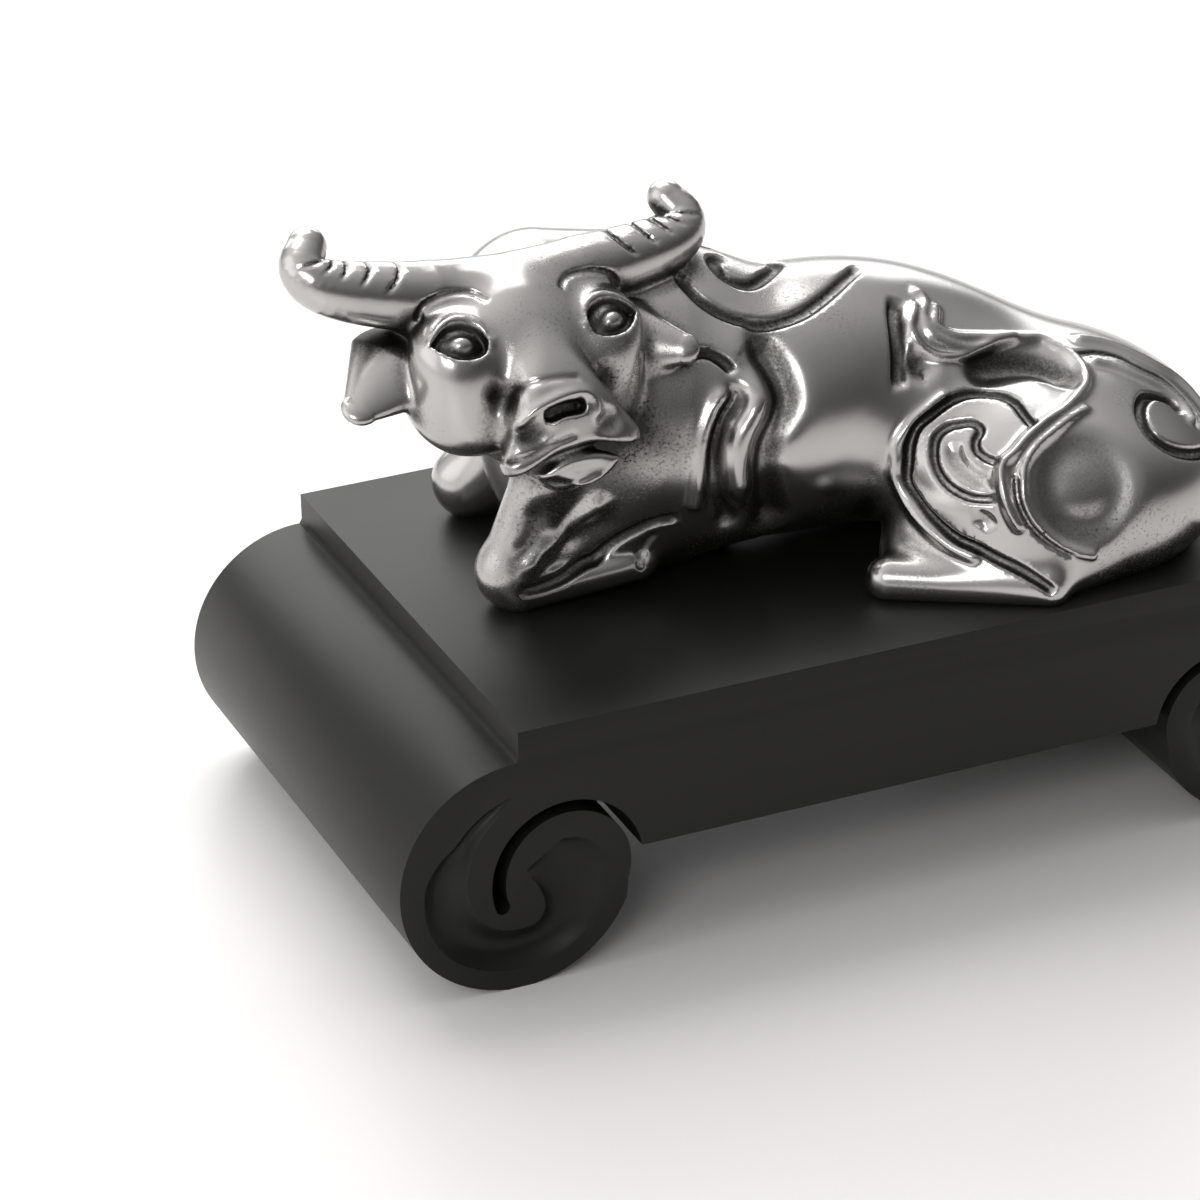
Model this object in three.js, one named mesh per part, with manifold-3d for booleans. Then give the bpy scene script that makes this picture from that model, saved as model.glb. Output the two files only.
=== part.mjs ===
import * as THREE from 'three';
import ManifoldModule from 'manifold-3d';

// A resting ox, cast in one piece, on a low black stand whose ends roll into scroll feet.
// Millimetres, +Z up, +X along the stand, -Y towards the viewer.
// The origin is under the middle of the stand, at the level of its feet.

// Driving dimensions of the stand
const slabLength = 115;                // between the two shallow steps of the top
const standWidth = 80.8;               // front to back
const standHeight = 39;                // feet to the top of the slab
const stepDepth = 3.9;                 // from the slab's top down to the start of a scroll
const scrollRadius = 17.2;
const scrollCentre = [-0.35, -21.8];   // measured from the slab's top left corner
const curlRadius = 9.2;                // the inner roll of a scroll
const curlCentre = [6.9, -22.9];
const slotRadius = 11.1;               // outer wall of the slot between the roll and the slab
const slotCentre = [6.8, -23.1];
const slotEnd = [-2.8, -26.1];
const footFlat = 4;                    // each scroll is flattened a little where it stands
const coveDepth = 1.9;                 // hollow carved into the end faces of the scrolls

// Driving dimensions of the ox, with z counted from the top of the slab
const gridCell = 1.2;                  // spacing of the grid on which the skin is found
const oxFacets = 7600;                 // facets kept of that skin, most of them in the carving
const headPitch = 31.5;                // the face looks down by this many degrees
const headRoll = -2;
const headCentre = [-42, -10, 42.6];   // midway between the eyes
const plateCentre = [0.1, 15.6, -1.2]; // flat front of the muzzle, in the head's axes
const plateTurn = 5.5;
const narrowestStroke = 1.0;           // half width that the facets can still hold

const pewter = new THREE.MeshStandardMaterial({ color: 0xb9b6b2, roughness: 0.26, metalness: 1 });
const lacquer = new THREE.MeshStandardMaterial({ color: 0x191a18, roughness: 0.34, metalness: 0 });
pewter.name = 'pewter';
lacquer.name = 'lacquer';

const degrees = Math.PI / 180;
const minus = (a, b) => [a[0] - b[0], a[1] - b[1], a[2] - b[2]];
const plus = (a, b, t = 1) => [a[0] + t * b[0], a[1] + t * b[1], a[2] + t * b[2]];
const dot = (a, b) => a[0] * b[0] + a[1] * b[1] + a[2] * b[2];
const size = (a) => Math.sqrt(dot(a, a));
const clamp = (x, low, high) => Math.min(Math.max(x, low), high);

// Local axes after a yaw about Z and a pitch about Y, in degrees
function turned(yaw, pitch = 0) {
  const a = yaw * degrees;
  const b = pitch * degrees;
  return [
    [Math.cos(a) * Math.cos(b), Math.sin(a) * Math.cos(b), -Math.sin(b)],
    [-Math.sin(a), Math.cos(a), 0],
    [Math.cos(a) * Math.sin(b), Math.sin(a) * Math.sin(b), Math.cos(b)],
  ];
}

// Every form below is a field: negative inside, zero on the skin, about the distance in between.
function ellipsoid(p, centre, radii, axes) {
  const d = minus(p, centre);
  const q = axes ? axes.map((axis) => dot(d, axis)) : d;
  const near = size(q.map((v, i) => v / radii[i]));
  const slope = size(q.map((v, i) => v / (radii[i] * radii[i])));
  return near * (near - 1) / (slope + 1e-9);
}

// A limb with round ends, tapering from radius ra to rb
function limb(p, a, b, ra, rb) {
  const along = minus(b, a);
  const t = clamp(dot(minus(p, a), along) / dot(along, along), 0, 1);
  return size(minus(p, plus(a, along, t))) - (ra + (rb - ra) * t);
}

// Union with a fillet of about k, and a cut with the same rounding
function join(a, b, k) {
  const h = clamp(0.5 + 0.5 * (b - a) / k, 0, 1);
  return b * (1 - h) + a * h - k * h * (1 - h);
}
const carve = (a, b, k) => -join(-a, b, k);
const both = (a, b, k) => -join(-a, -b, k);

// Zero below low, one above high
function ramp(low, high, x) {
  const t = clamp((x - low) / (high - low), 0, 1);
  return t * t * (3 - 2 * t);
}

function smoothPath(points, count) {
  const through = points.map((q) => new THREE.Vector3(...q));
  const curve = new THREE.CatmullRomCurve3(through, false, 'catmullrom', 0.5);
  return curve.getPoints(count).map((v) => [v.x, v.y, v.z]);
}

// Nearest point of a path: its distance, and how far along the path it lies
function nearest(p, path) {
  let best = Infinity;
  let where = 0;
  let run = 0;
  for (let i = 1; i < path.length; i += 1) {
    const along = minus(path[i], path[i - 1]);
    const stretch = size(along);
    const t = clamp(dot(minus(p, path[i - 1]), along) / (stretch * stretch + 1e-12), 0, 1);
    const d = size(minus(p, plus(path[i - 1], along, t)));
    if (d < best) {
      best = d;
      where = run + t * stretch;
    }
    run += stretch;
  }
  return { distance: best, where, total: run };
}

// A bent tube whose radius follows the list of radii, evenly spread along it
function tube(p, path, radii) {
  const { distance, where, total } = nearest(p, path);
  const s = clamp(where / total, 0, 1) * (radii.length - 1);
  const i = Math.min(Math.floor(s), radii.length - 2);
  return distance - (radii[i] + (radii[i + 1] - radii[i]) * (s - i));
}

function body(p) {
  let f = ellipsoid(p, [-21, 4, 20.5], [22, 18.5, 22.5]);                            // chest
  f = join(f, ellipsoid(p, [2, 0, 20.5], [34, 18.5, 19.2]), 6);                      // barrel
  f = join(f, ellipsoid(p, [35, -10, 12], [27.5, 21, 16.2], turned(-12, 12)), 9);    // rump
  f = join(f, limb(p, [-24, 2, 27], [-38, 0, 33], 14, 9), 8);                        // neck
  f = join(f, limb(p, [-12, 5, 34], [-38, 7, 37], 8, 8.5), 8);                       // crest of the neck
  f = join(f, limb(p, [-20, 8.5, 37], [-33, 10, 38.8], 8, 9.2), 5);                  // hump behind the head
  f = join(f, ellipsoid(p, [33, -22.8, 10], [24, 16.2, 14.5], turned(-8, 4)), 5);    // near haunch
  f = join(f, ellipsoid(p, [35, 6, 10], [22, 15, 13.5], turned(-16, 4)), 5);         // far haunch
  f = join(f, ellipsoid(p, [-11, -7.5, 21], [8.5, 8, 14]), 5);                       // near shoulder
  f = join(f, ellipsoid(p, [-13, 18, 19], [10, 8, 16]), 5);                          // far shoulder
  f = carve(f, ellipsoid(p, [1, -20, -2.5], [14, 13, 6.5]), 3);                      // under the belly
  return carve(f, ellipsoid(p, [4, 23, -2.5], [14, 10, 6.5]), 3);
}

function forelegs(p) {
  let near = limb(p, [-43, -5.4, 3.6], [-12, 1.5, 3], 4, 4);                         // folded shank
  near = join(near, limb(p, [-43.5, -4.2, 5.2], [-20, -3, 12], 4.2, 8), 2);          // forearm
  near = join(near, limb(p, [-44, -5.4, 5], [-38.2, -6.8, 21], 4.2, 4.2), 2);        // front of the leg
  near = join(near, limb(p, [-42.5, -6.8, 2.6], [-26, -8.6, 4.6], 3, 3), 1.5);       // edge along the slab
  let far = limb(p, [-37.5, 24.5, 3.8], [-10, 20, 3], 4.2, 4);
  far = join(far, limb(p, [-38, 24, 5.2], [-20, 17, 12], 4.4, 8.5), 2);
  far = join(far, limb(p, [-38, 24, 6], [-28, 15, 20], 4, 5.5), 3);
  return join(near, far, 2);
}

function hindFeet(p) {
  let near = limb(p, [4.8, -25.4, 2.5], [24, -36.4, 2], 3.2, 3);
  near = join(near, limb(p, [11, -21.5, 3], [29, -32, 5], 5, 5.5), 3);
  return join(near, limb(p, [10, 20, 2.8], [38, 14, 2.8], 3, 4.4), 1);
}

// The head has its own axes: across to the ox's left, forward down the nose, and up out of the face
const faceForward = [0, -Math.cos(headPitch * degrees), -Math.sin(headPitch * degrees)];
const faceUp = [0, -Math.sin(headPitch * degrees), Math.cos(headPitch * degrees)];
const roll = headRoll * degrees;
const headAcross = plus([Math.cos(roll), 0, 0], faceUp, Math.sin(roll));
const headUp = plus([-Math.sin(roll), 0, 0], faceUp, Math.cos(roll));
const inHead = (p) => [headAcross, faceForward, headUp].map((axis) => dot(minus(p, headCentre), axis));
const hornPath = smoothPath([[0, -9, -1.1], [10, -9, -1], [18, -9.9, 0.2], [25.5, -11.7, 1.5],
  [28, -14.4, 2.6], [26.6, -17.3, 3.4]], 20);
const hornRadii = [4, 4.7, 5, 4.6, 4.2, 3.6, 2.7];
const earFlatness = 2;

// The muzzle plate's axes: across it, down along it and out of it
function inPlate(q) {
  const d = minus(q, plateCentre);
  const down = dot(d, [0, 0.76, -0.65]);
  const [c, s] = [Math.cos(plateTurn * degrees), Math.sin(plateTurn * degrees)];
  return [d[0] * c - down * s, down * c + d[0] * s, dot(d, [0, 0.65, 0.76])];
}

// A shield with sloping sides and an arched lower edge as deep as the lips
function muzzlePlate([u, v, w]) {
  const halfWidth = 10.6 - 0.6 * Math.max(2.6 - v, 0) + 0.25 * Math.min(w + 1.5, 0);
  const sides = (Math.abs(u - 1) - halfWidth) * 0.85;
  const lowerEdge = v - (2.3 + 2.1 * ramp(1, 9.5, Math.abs(u - 0.9)));
  const face = w + 0.01 * u * u + 0.01 * Math.min(v, 0) ** 2 + 0.05 * Math.min(v + 4, 0) ** 2 - 0.2;
  return both(both(both(sides, face, 2.6), lowerEdge, 0.9), -5.5 - w, 2);
}

// The lower lip is a leaf with its tips to the sides, a little behind the plate
function lowerLip([u, v, w]) {
  const x = u - 1.8;
  const y = v - 5.8 - 0.03 * x;
  const leaf = both(-y - (2.3 - 0.06 * x * x), y - (2.4 - 0.067 * x * x), 0.7) * 0.85;
  return both(both(leaf, w + 0.8 + 0.02 * x * x, 1.3), -7 - w, 1.5);
}

// Both horns follow one path; the one above the neck is bent down by a tenth of its reach
function horns(q) {
  const bent = 0.1 * Math.max(q[0] - 12, 0);
  return tube([Math.abs(q[0]), q[1] - 0.52 * bent, q[2] + 0.85 * bent], hornPath, hornRadii);
}

function head(p) {
  const q = inHead(p);
  const half = [Math.abs(q[0]), q[1], q[2]];                                         // both halves alike
  const plate = inPlate(q);
  let f = ellipsoid(q, [0, -2, -8.5], [16.2, 12, 12.3]);                             // skull
  f = join(f, ellipsoid(half, [7, 3.3, -8], [9.8, 9, 7.2]), 3);                      // cheeks
  f = carve(f, ellipsoid(q, [0, 16, -18], [20, 9, 8.5]), 2.5);
  f = join(f, ellipsoid(q, [0, -4, -2.8], [12.5, 9, 5.2]), 4);                       // forehead
  f = join(f, limb(q, [0, -4, -3.2], [0.2, 9.8, -3.2], 6.8, 5.6), 4);                // bridge of the nose
  f = join(f, muzzlePlate(plate), 3);
  f = join(f, limb(q, [1, 15.4, -8.6], [0, 5, -13], 4.2, 6.5), 2);                   // jaw
  f = join(f, lowerLip(plate), 0.8);
  f = join(f, horns(q), 2.2);
  f = join(f, ellipsoid(half, [10.9, 3.2, -3], [5, 5.5, 5]), 3);                     // dome of the eye
  f = join(f, ellipsoid(half, [10.9, 0.6, -0.9], [5.7, 6, 4.9]), 2);
  f = carve(f, ellipsoid(half, [11, 1.7, 4.8], [4, 3.1, 2.2]), 0.4);                 // socket
  f = join(f, ellipsoid(half, [11, 1.9, 2.6], [2, 1.6, 1.5]), 0.3);                  // eyeball
  return carve(f, limb(plate, [-1.9, -2.8, 0.6], [2.3, -2.8, 0.6], 1.3, 1.3), 0.3);  // slot of the nose
}

// A limb flattened along the direction n, by taking its distance in a space stretched that way
function flatLimb(p, a, b, ra, rb, n) {
  const flat = (q) => plus(q, n, (earFlatness - 1) * dot(q, n));
  return limb(flat(p), flat(a), flat(b), ra, rb) / 1.4;
}

// The free ear stands out to the side, and the one beside the neck is folded forward
function ears(p) {
  const q = inHead(p);
  const free = flatLimb([-q[0], q[1], q[2]], [17, -2.3, -7.3], [23.8, 2.6, -7.4], 7.2, 2.6, [0, 0, 1]);
  const folded = flatLimb(q, [15.8, 0.8, -4.6], [21.9, 5.3, -2.3], 5.2, 2.1, [-0.3, 0.4, 0.866]);
  return Math.min(free, folded);
}

function plainOx(p) {
  let f = join(body(p), forelegs(p), 2.5);
  f = join(f, hindFeet(p), 5);
  f = join(f, head(p), 2);
  return join(f, ears(p), 1.2);
}

function slopeOf(field, p, h = 0.15) {
  return [[h, 0, 0], [0, h, 0], [0, 0, h]].map((e) => (field(plus(p, e)) - field(minus(p, e))) / (2 * h));
}

// Moves a point along the slope until it lies on the zero surface of the field
function settle(field, p, rounds, reach) {
  let q = p;
  for (let i = 0; i < rounds; i += 1) {
    const slope = slopeOf(field, q);
    const step = clamp(field(q) / Math.max(dot(slope, slope), 0.1), -reach, reach);
    q = plus(q, slope, -step);
  }
  return q;
}

// Carved strokes: half width, height (negative is cut in) and points near the skin
const strokes = [
  // Withers: a curl and the long arc under it
  [0.95, -0.9, [[-9.5, 6, 43.6], [-5, 6.5, 41.8], [-0.5, 6, 40.6], [1.2, 3, 39.5], [-3, -1.5, 40],
    [-8.5, -2.5, 41], [-9.2, 1.5, 43]]],
  [0.95, -0.9, [[-16.5, -1.5, 44], [-14, -6.5, 40.5], [-7.5, -9, 37], [0, -9, 37.5], [9, -4, 39.5],
    [12.5, -1, 39.5]]],
  // Shoulder: the fold behind it, its bulge, and a valley and a ridge in front
  [2.5, -2.5, [[-10.4, -9.7, 37], [-7.4, -13.7, 33.1], [-7, -16.4, 28.7], [-9.8, -17.7, 23.7],
    [-10.9, -17.8, 19.5], [-8.3, -14.9, 9.7], [-7.5, -12.5, 6]]],
  [3.4, 2.4, [[-11.6, -13.5, 33.5], [-11.6, -16.8, 27.4], [-14.6, -17.4, 20.1], [-12.3, -16, 12]]],
  [1.7, -1.7, [[-11.6, -14.8, 31.6], [-16.5, -16.2, 26.6], [-17.2, -16.5, 18.4], [-14.4, -13.5, 8]]],
  [1.1, 1.2, [[-14.1, -14.9, 31.2], [-18.3, -16, 26.2], [-19.8, -16, 18.7], [-20.4, -14.5, 13]]],
  // Foreleg: the crease over the shank, and the valley and the ridge of the forearm
  [0.9, -1.2, [[-44.6, -9.7, 4.2], [-34.5, -8.6, 4.9], [-27.9, -11.7, 10.6], [-21.4, -14.2, 12.6]]],
  [2.1, -1.5, [[-41.4, -10, 18.8], [-42.1, -9.7, 10.9], [-44.7, -9.7, 6]]],
  [1.5, 1, [[-44.3, -9.7, 6], [-37.4, -8.7, 11.3], [-31.9, -12.2, 18.1]]],
  // Haunch: its crease, the recess beside it, the flame that winds on round the dish, and a shorter one
  [1.3, -1, [[14.7, -7.6, 36.4], [12.1, -13.3, 32.6], [10.4, -17.6, 26.4]]],
  [2.5, -1.5, [[11, -17.4, 26.8], [13.3, -16.3, 28.8], [17.5, -17, 27.9]]],
  [1, 1.3, [[20.2, -8.2, 34.6], [18.4, -11.9, 32.6], [21.3, -13.4, 30.9], [28.3, -13.7, 29.5],
    [33.9, -14, 28.3], [36.4, -17.4, 27.1], [36.7, -22.2, 25.9], [33.4, -26.4, 24.8], [27.5, -28.8, 23.3],
    [21.3, -30.7, 20.4], [18.6, -32.4, 17], [20.2, -36.4, 10.5]]],
  [0.9, 1, [[16, -8.3, 35.7], [14.5, -12, 33.4], [17.4, -15.4, 29.7], [22.3, -15.6, 29.1],
    [26.5, -14.4, 29.4]]],
  [2.6, -2.3, [[19, -17.8, 27.5], [25, -17.6, 27.7], [32.8, -20.2, 26.7], [32, -25, 25.4]]],
  [0.7, 0.8, [[34.5, -28.3, 23.9], [27.2, -30.6, 22.3], [22.1, -32.5, 19.3], [20.9, -34.9, 15],
    [23.4, -37, 10.4], [30.5, -38.4, 6.6]]],
  // The disc below it: its edge, and the hook inside
  [0.75, -0.9, [[25.5, -29.3, 22.7], [24.7, -24.1, 24.9], [21.4, -20.8, 25.6], [16.6, -19.8, 24.7],
    [11.8, -19.9, 22], [9.8, -21.2, 17.5], [9.6, -23.5, 13.5], [11.3, -27.9, 10.5], [17.4, -33.9, 6.6],
    [23.7, -39.4, 2.2]]],
  [0.7, -0.8, [[17.7, -33, 15.2], [14, -29.9, 15.2], [12.3, -26, 16.8], [12.8, -23, 19.6],
    [15.4, -22.3, 22.2], [18.4, -23.9, 22.9], [17.2, -27.3, 20.5], [19.3, -30.8, 19.3]]],
  // Tail: two cords that run down the rump, and the curl they end in
  [1.1, 0.9, [[38.5, -14, 27.4], [44.7, -14.3, 25.7], [50.7, -16.9, 22.4], [56, -21, 17.5],
    [56.3, -25, 16]]],
  [0.8, 0.9, [[38.4, -19.2, 26.4], [44.3, -21.7, 24.2], [48.8, -23.9, 21.9], [50.6, -28.4, 18.9]]],
  [0.95, -1.1, [[49.1, -28.3, 19.6], [47.2, -25.8, 21.8], [42.6, -28.1, 22.6], [41.5, -32.8, 20.3],
    [45.3, -34.4, 17.4], [52.5, -31.5, 15]]],
].map(([half, height, points]) => ({
  half: Math.max(half, narrowestStroke),
  height,
  path: smoothPath(points, 4 * points.length).map((q) => settle(plainOx, q, 5, 3)),
}));
const dish = { centre: [29.4, -37, 16.8], radii: [8.5, 9, 9.8], axes: turned(-12) };

// A trough round a low pad, shallower towards the rump
function dishRelief(p) {
  const q = dish.axes.map((axis, i) => dot(minus(p, dish.centre), axis) / dish.radii[i]);
  const r = size(q);
  const open = ramp(-0.3, 0.9, (0.8 * q[0] + 0.6 * q[2]) / (r + 0.1));
  const trough = 1.6 * Math.exp(-(((r - 0.68) / 0.3) ** 2)) * (1 - 0.55 * open);
  return trough + 1.1 * Math.exp(-((r / 0.65) ** 4));
}

function relief(p) {
  let sum = dishRelief(p);
  for (const { half, height, path } of strokes) {
    const { distance, where, total } = nearest(p, path);
    if (distance < 3 * half) {
      const ends = Math.min(where, total - where);
      sum -= height * Math.exp(-((distance / half) ** 2)) * ramp(0, 2 * half, ends);
    }
  }
  return sum;
}

// The finished ox stands on the plane z = 0
function ox(p) {
  const f = plainOx(p);
  return Math.max(Math.abs(f) < 5 ? f + relief(p) : f, -p[2]);
}

function gridLines(low, high) {
  return Array.from({ length: Math.ceil((high - low) / gridCell) + 1 }, (_, i) => low + i * gridCell);
}

// Facets of the zero surface of a field: one corner in each grid cell that the surface crosses,
// moved onto the surface, and one four-sided facet across each grid edge that changes sign.
function skin(field, lines) {
  const [nx, ny, nz] = lines.map((list) => list.length);
  const place = (i, j, k) => (i * ny + j) * nz + k;
  const values = new Float64Array(nx * ny * nz);
  for (let i = 0; i < nx; i += 1) {
    for (let j = 0; j < ny; j += 1) {
      for (let k = 0; k < nz; k += 1) {
        values[place(i, j, k)] = field([lines[0][i], lines[1][j], lines[2][k]]);
      }
    }
  }
  const directions = [[1, 0, 0], [0, 1, 0], [0, 0, 1]];
  // A square of grid points with alternating signs would pinch the skin, so its weaker gap is filled
  for (let filled = true; filled;) {
    filled = false;
    for (let i = 0; i + 1 < nx; i += 1) {
      for (let j = 0; j + 1 < ny; j += 1) {
        for (let k = 0; k + 1 < nz; k += 1) {
          for (let axis = 0; axis < 3; axis += 1) {
            const u = directions[(axis + 1) % 3];
            const v = directions[(axis + 2) % 3];
            const square = [[0, 0], [1, 0], [1, 1], [0, 1]];
            const at = square.map(([s, t]) => place(...plus(plus([i, j, k], u, s), v, t)));
            const inside = at.map((n) => values[n] < 0);
            if (inside[0] === inside[2] && inside[1] === inside[3] && inside[0] !== inside[1]) {
              const gaps = at.filter((n) => values[n] >= 0);
              values[values[gaps[0]] < values[gaps[1]] ? gaps[0] : gaps[1]] = -0.001;
              filled = true;
            }
          }
        }
      }
    }
  }
  const corners = [];
  const cornerOf = new Map();
  for (let i = 0; i + 1 < nx; i += 1) {
    for (let j = 0; j + 1 < ny; j += 1) {
      for (let k = 0; k + 1 < nz; k += 1) {
        let count = 0;
        let sum = [0, 0, 0];
        for (let c = 0; c < 8; c += 1) {
          const a = [i + (c & 1), j + ((c >> 1) & 1), k + ((c >> 2) & 1)];
          for (let axis = 0; axis < 3; axis += 1) {
            if (((c >> axis) & 1) === 0) {
              const b = plus(a, directions[axis]);
              const va = values[place(...a)];
              const vb = values[place(...b)];
              if ((va < 0) !== (vb < 0)) {
                const from = a.map((n, m) => lines[m][n]);
                const to = b.map((n, m) => lines[m][n]);
                sum = plus(sum, plus(from, minus(to, from), va / (va - vb)));
                count += 1;
              }
            }
          }
        }
        if (count > 0) {
          cornerOf.set(place(i, j, k), corners.length);
          const middle = settle(field, sum.map((v) => v / count), 3, 0.5);
          corners.push([middle[0], middle[1], Math.max(middle[2], 0)]);
        }
      }
    }
  }
  const faces = [];
  for (let i = 1; i + 1 < nx; i += 1) {
    for (let j = 1; j + 1 < ny; j += 1) {
      for (let k = 1; k + 1 < nz; k += 1) {
        for (let axis = 0; axis < 3; axis += 1) {
          const here = values[place(i, j, k)] < 0;
          const next = values[place(...plus([i, j, k], directions[axis]))] < 0;
          if (here !== next) {
            const u = directions[(axis + 1) % 3];
            const v = directions[(axis + 2) % 3];
            const around = [[0, 0], [-1, 0], [-1, -1], [0, -1]].map(([s, t]) => {
              const cell = plus(plus([i, j, k], u, s), v, t);
              return cornerOf.get(place(...cell));
            });
            if (!here) {
              around.reverse();
            }
            const [a, b, c, d] = around;
            const across = size(minus(corners[a], corners[c]));
            const other = size(minus(corners[b], corners[d]));
            if (across < other) {
              faces.push(a, b, c, a, c, d);
            } else {
              faces.push(a, b, d, b, c, d);
            }
          }
        }
      }
    }
  }
  return { points: corners, faces };
}

const cross = (a, b) => [a[1] * b[2] - a[2] * b[1], a[2] * b[0] - a[0] * b[2], a[0] * b[1] - a[1] * b[0]];

// Merges neighbouring corners, the pair that changes the shape least first, until few facets are left.
// The change is the summed squared distance from the planes of the facets merged so far.
function thinOut({ points, faces }, wanted) {
  const triangles = [];
  const around = points.map(() => new Set());
  const planes = points.map(() => new Float64Array(10));
  for (let i = 0; i < faces.length; i += 3) {
    const triangle = faces.slice(i, i + 3);
    const [a, b, c] = triangle.map((n) => points[n]);
    const normal = cross(minus(b, a), minus(c, a));
    const area = size(normal);
    if (area > 0) {
      const [x, y, z] = normal.map((v) => v / area);
      const w = -dot([x, y, z], a);
      const products = [x * x, x * y, x * z, x * w, y * y, y * z, y * w, z * z, z * w, w * w];
      triangle.forEach((n) => products.forEach((v, m) => {
        planes[n][m] += v * area;
      }));
    }
    triangle.forEach((n) => around[n].add(triangles.length));
    triangles.push(triangle);
  }
  const change = (q, [x, y, z]) => q[0] * x * x + 2 * q[1] * x * y + 2 * q[2] * x * z + 2 * q[3] * x
    + q[4] * y * y + 2 * q[5] * y * z + 2 * q[6] * y + q[7] * z * z + 2 * q[8] * z + q[9];
  const stamps = points.map(() => 0);
  const heap = [];
  const lift = (item) => {
    let i = heap.push(item) - 1;
    while (i > 0 && heap[(i - 1) >> 1].cost > item.cost) {
      heap[i] = heap[(i - 1) >> 1];
      i = (i - 1) >> 1;
    }
    heap[i] = item;
  };
  const takeLeast = () => {
    const least = heap[0];
    const item = heap.pop();
    if (heap.length > 0) {
      let i = 0;
      for (let child = 1; child < heap.length; child = 2 * i + 1) {
        if (child + 1 < heap.length && heap[child + 1].cost < heap[child].cost) {
          child += 1;
        }
        if (heap[child].cost >= item.cost) {
          break;
        }
        heap[i] = heap[child];
        i = child;
      }
      heap[i] = item;
    }
    return least;
  };
  const offer = (a, b) => {
    const q = planes[a].map((v, m) => v + planes[b][m]);
    const middle = plus(points[a], points[b]).map((v) => v / 2);
    const det = q[0] * (q[4] * q[7] - q[5] * q[5]) - q[1] * (q[1] * q[7] - q[5] * q[2])
      + q[2] * (q[1] * q[5] - q[4] * q[2]);
    const options = [points[a], points[b], middle];
    if (Math.abs(det) > 1e-3) {
      const best = [
        -(q[3] * (q[4] * q[7] - q[5] * q[5]) - q[1] * (q[6] * q[7] - q[5] * q[8])
          + q[2] * (q[6] * q[5] - q[4] * q[8])) / det,
        -(q[0] * (q[6] * q[7] - q[5] * q[8]) - q[3] * (q[1] * q[7] - q[5] * q[2])
          + q[2] * (q[1] * q[8] - q[6] * q[2])) / det,
        -(q[0] * (q[4] * q[8] - q[6] * q[5]) - q[1] * (q[1] * q[8] - q[6] * q[2])
          + q[3] * (q[1] * q[5] - q[4] * q[2])) / det,
      ];
      if (size(minus(best, middle)) < size(minus(points[a], points[b]))) {
        options.unshift(best);
      }
    }
    const costs = options.map((p) => change(q, p) + 1e-4 * dot(minus(p, middle), minus(p, middle)));
    const cost = Math.min(...costs) + 1e-3 * dot(minus(points[a], points[b]), minus(points[a], points[b]));
    lift({ a, b, q, cost, at: options[costs.indexOf(Math.min(...costs))], stamp: stamps[a] + stamps[b] });
  };
  const neighbours = (n) => new Set([...around[n]].flatMap((t) => triangles[t]).filter((m) => m !== n));
  points.forEach((_, a) => neighbours(a).forEach((b) => a < b && offer(a, b)));
  let left = triangles.length;
  while (left > wanted && heap.length > 0) {
    const { a, b, q, at, stamp } = takeLeast();
    if (around[a].size > 0 && around[b].size > 0 && stamp === stamps[a] + stamps[b]) {
      const shared = [...neighbours(a)].filter((n) => neighbours(b).has(n));
      const lost = (t) => triangles[t].includes(a) && triangles[t].includes(b);
      const moved = [...around[a], ...around[b]].filter((t) => !lost(t));
      const turns = moved.some((t) => {
        const before = triangles[t].map((n) => points[n]);
        const after = triangles[t].map((n) => (n === a || n === b ? at : points[n]));
        const u = cross(minus(before[1], before[0]), minus(before[2], before[0]));
        const v = cross(minus(after[1], after[0]), minus(after[2], after[0]));
        return dot(u, v) < 0.3 * size(u) * size(v) || size(v) < 0.02;
      });
      if (neighbours(a).has(b) && shared.length === 2 && !turns) {
        [...around[b]].forEach((t) => {
          if (triangles[t].includes(a)) {
            triangles[t].forEach((n) => around[n].delete(t));
            left -= 1;
          } else {
            triangles[t] = triangles[t].map((n) => (n === b ? a : n));
            around[a].add(t);
          }
        });
        around[b].clear();
        points[a] = at;
        planes[a] = q;
        stamps[a] += 1;
        stamps[b] = -1e9;
        neighbours(a).forEach((n) => offer(a, n));
      }
    }
  }
  const kept = points.map((p, n) => n).filter((n) => around[n].size > 0);
  const order = new Map(kept.map((n, m) => [n, m]));
  const live = new Set(kept.flatMap((n) => [...around[n]]));
  return {
    points: kept.map((n) => [points[n][0], points[n][1], Math.max(points[n][2], 0)]),
    faces: [...live].flatMap((t) => triangles[t].map((n) => order.get(n))),
  };
}

function buildOx() {
  const fine = skin(ox, [gridLines(-76, 66), gridLines(-44.1, 34), gridLines(-0.6 - gridCell, 60)]);
  const { points, faces } = thinOut(fine, oxFacets);
  const geometry = new THREE.BufferGeometry();
  geometry.setAttribute('position', new THREE.Float32BufferAttribute(points.flat(), 3));
  geometry.setIndex(faces);
  geometry.translate(0, 0, standHeight);
  geometry.computeVertexNormals();
  return geometry;
}

// Points of an arc, from one angle to another in degrees
function arc(centre, radius, from, to, count) {
  return Array.from({ length: count + 1 }, (_, i) => {
    const a = (from + (to - from) * i / count) * degrees;
    return [centre[0] + radius * Math.cos(a), centre[1] + radius * Math.sin(a)];
  });
}

// Outline of the left half of the stand, from its top round the scroll to its underside.
// The origin is the slab's top left corner, and the slot is part of the outline.
function halfOutline() {
  return [
    [0, 0],
    [0, -stepDepth],
    ...arc(scrollCentre, scrollRadius, 90, 258, 28),
    [scrollCentre[0] - footFlat / 2, -standHeight],
    [scrollCentre[0] + footFlat / 2, -standHeight],
    ...arc(scrollCentre, scrollRadius, 282, 336, 9),
    ...arc(curlCentre, curlRadius, -18, 198, 26),
    ...arc(slotEnd, 1.03, 21, -158, 4),
    ...arc(slotCentre, slotRadius, 198, 9, 24),
  ];
}

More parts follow.
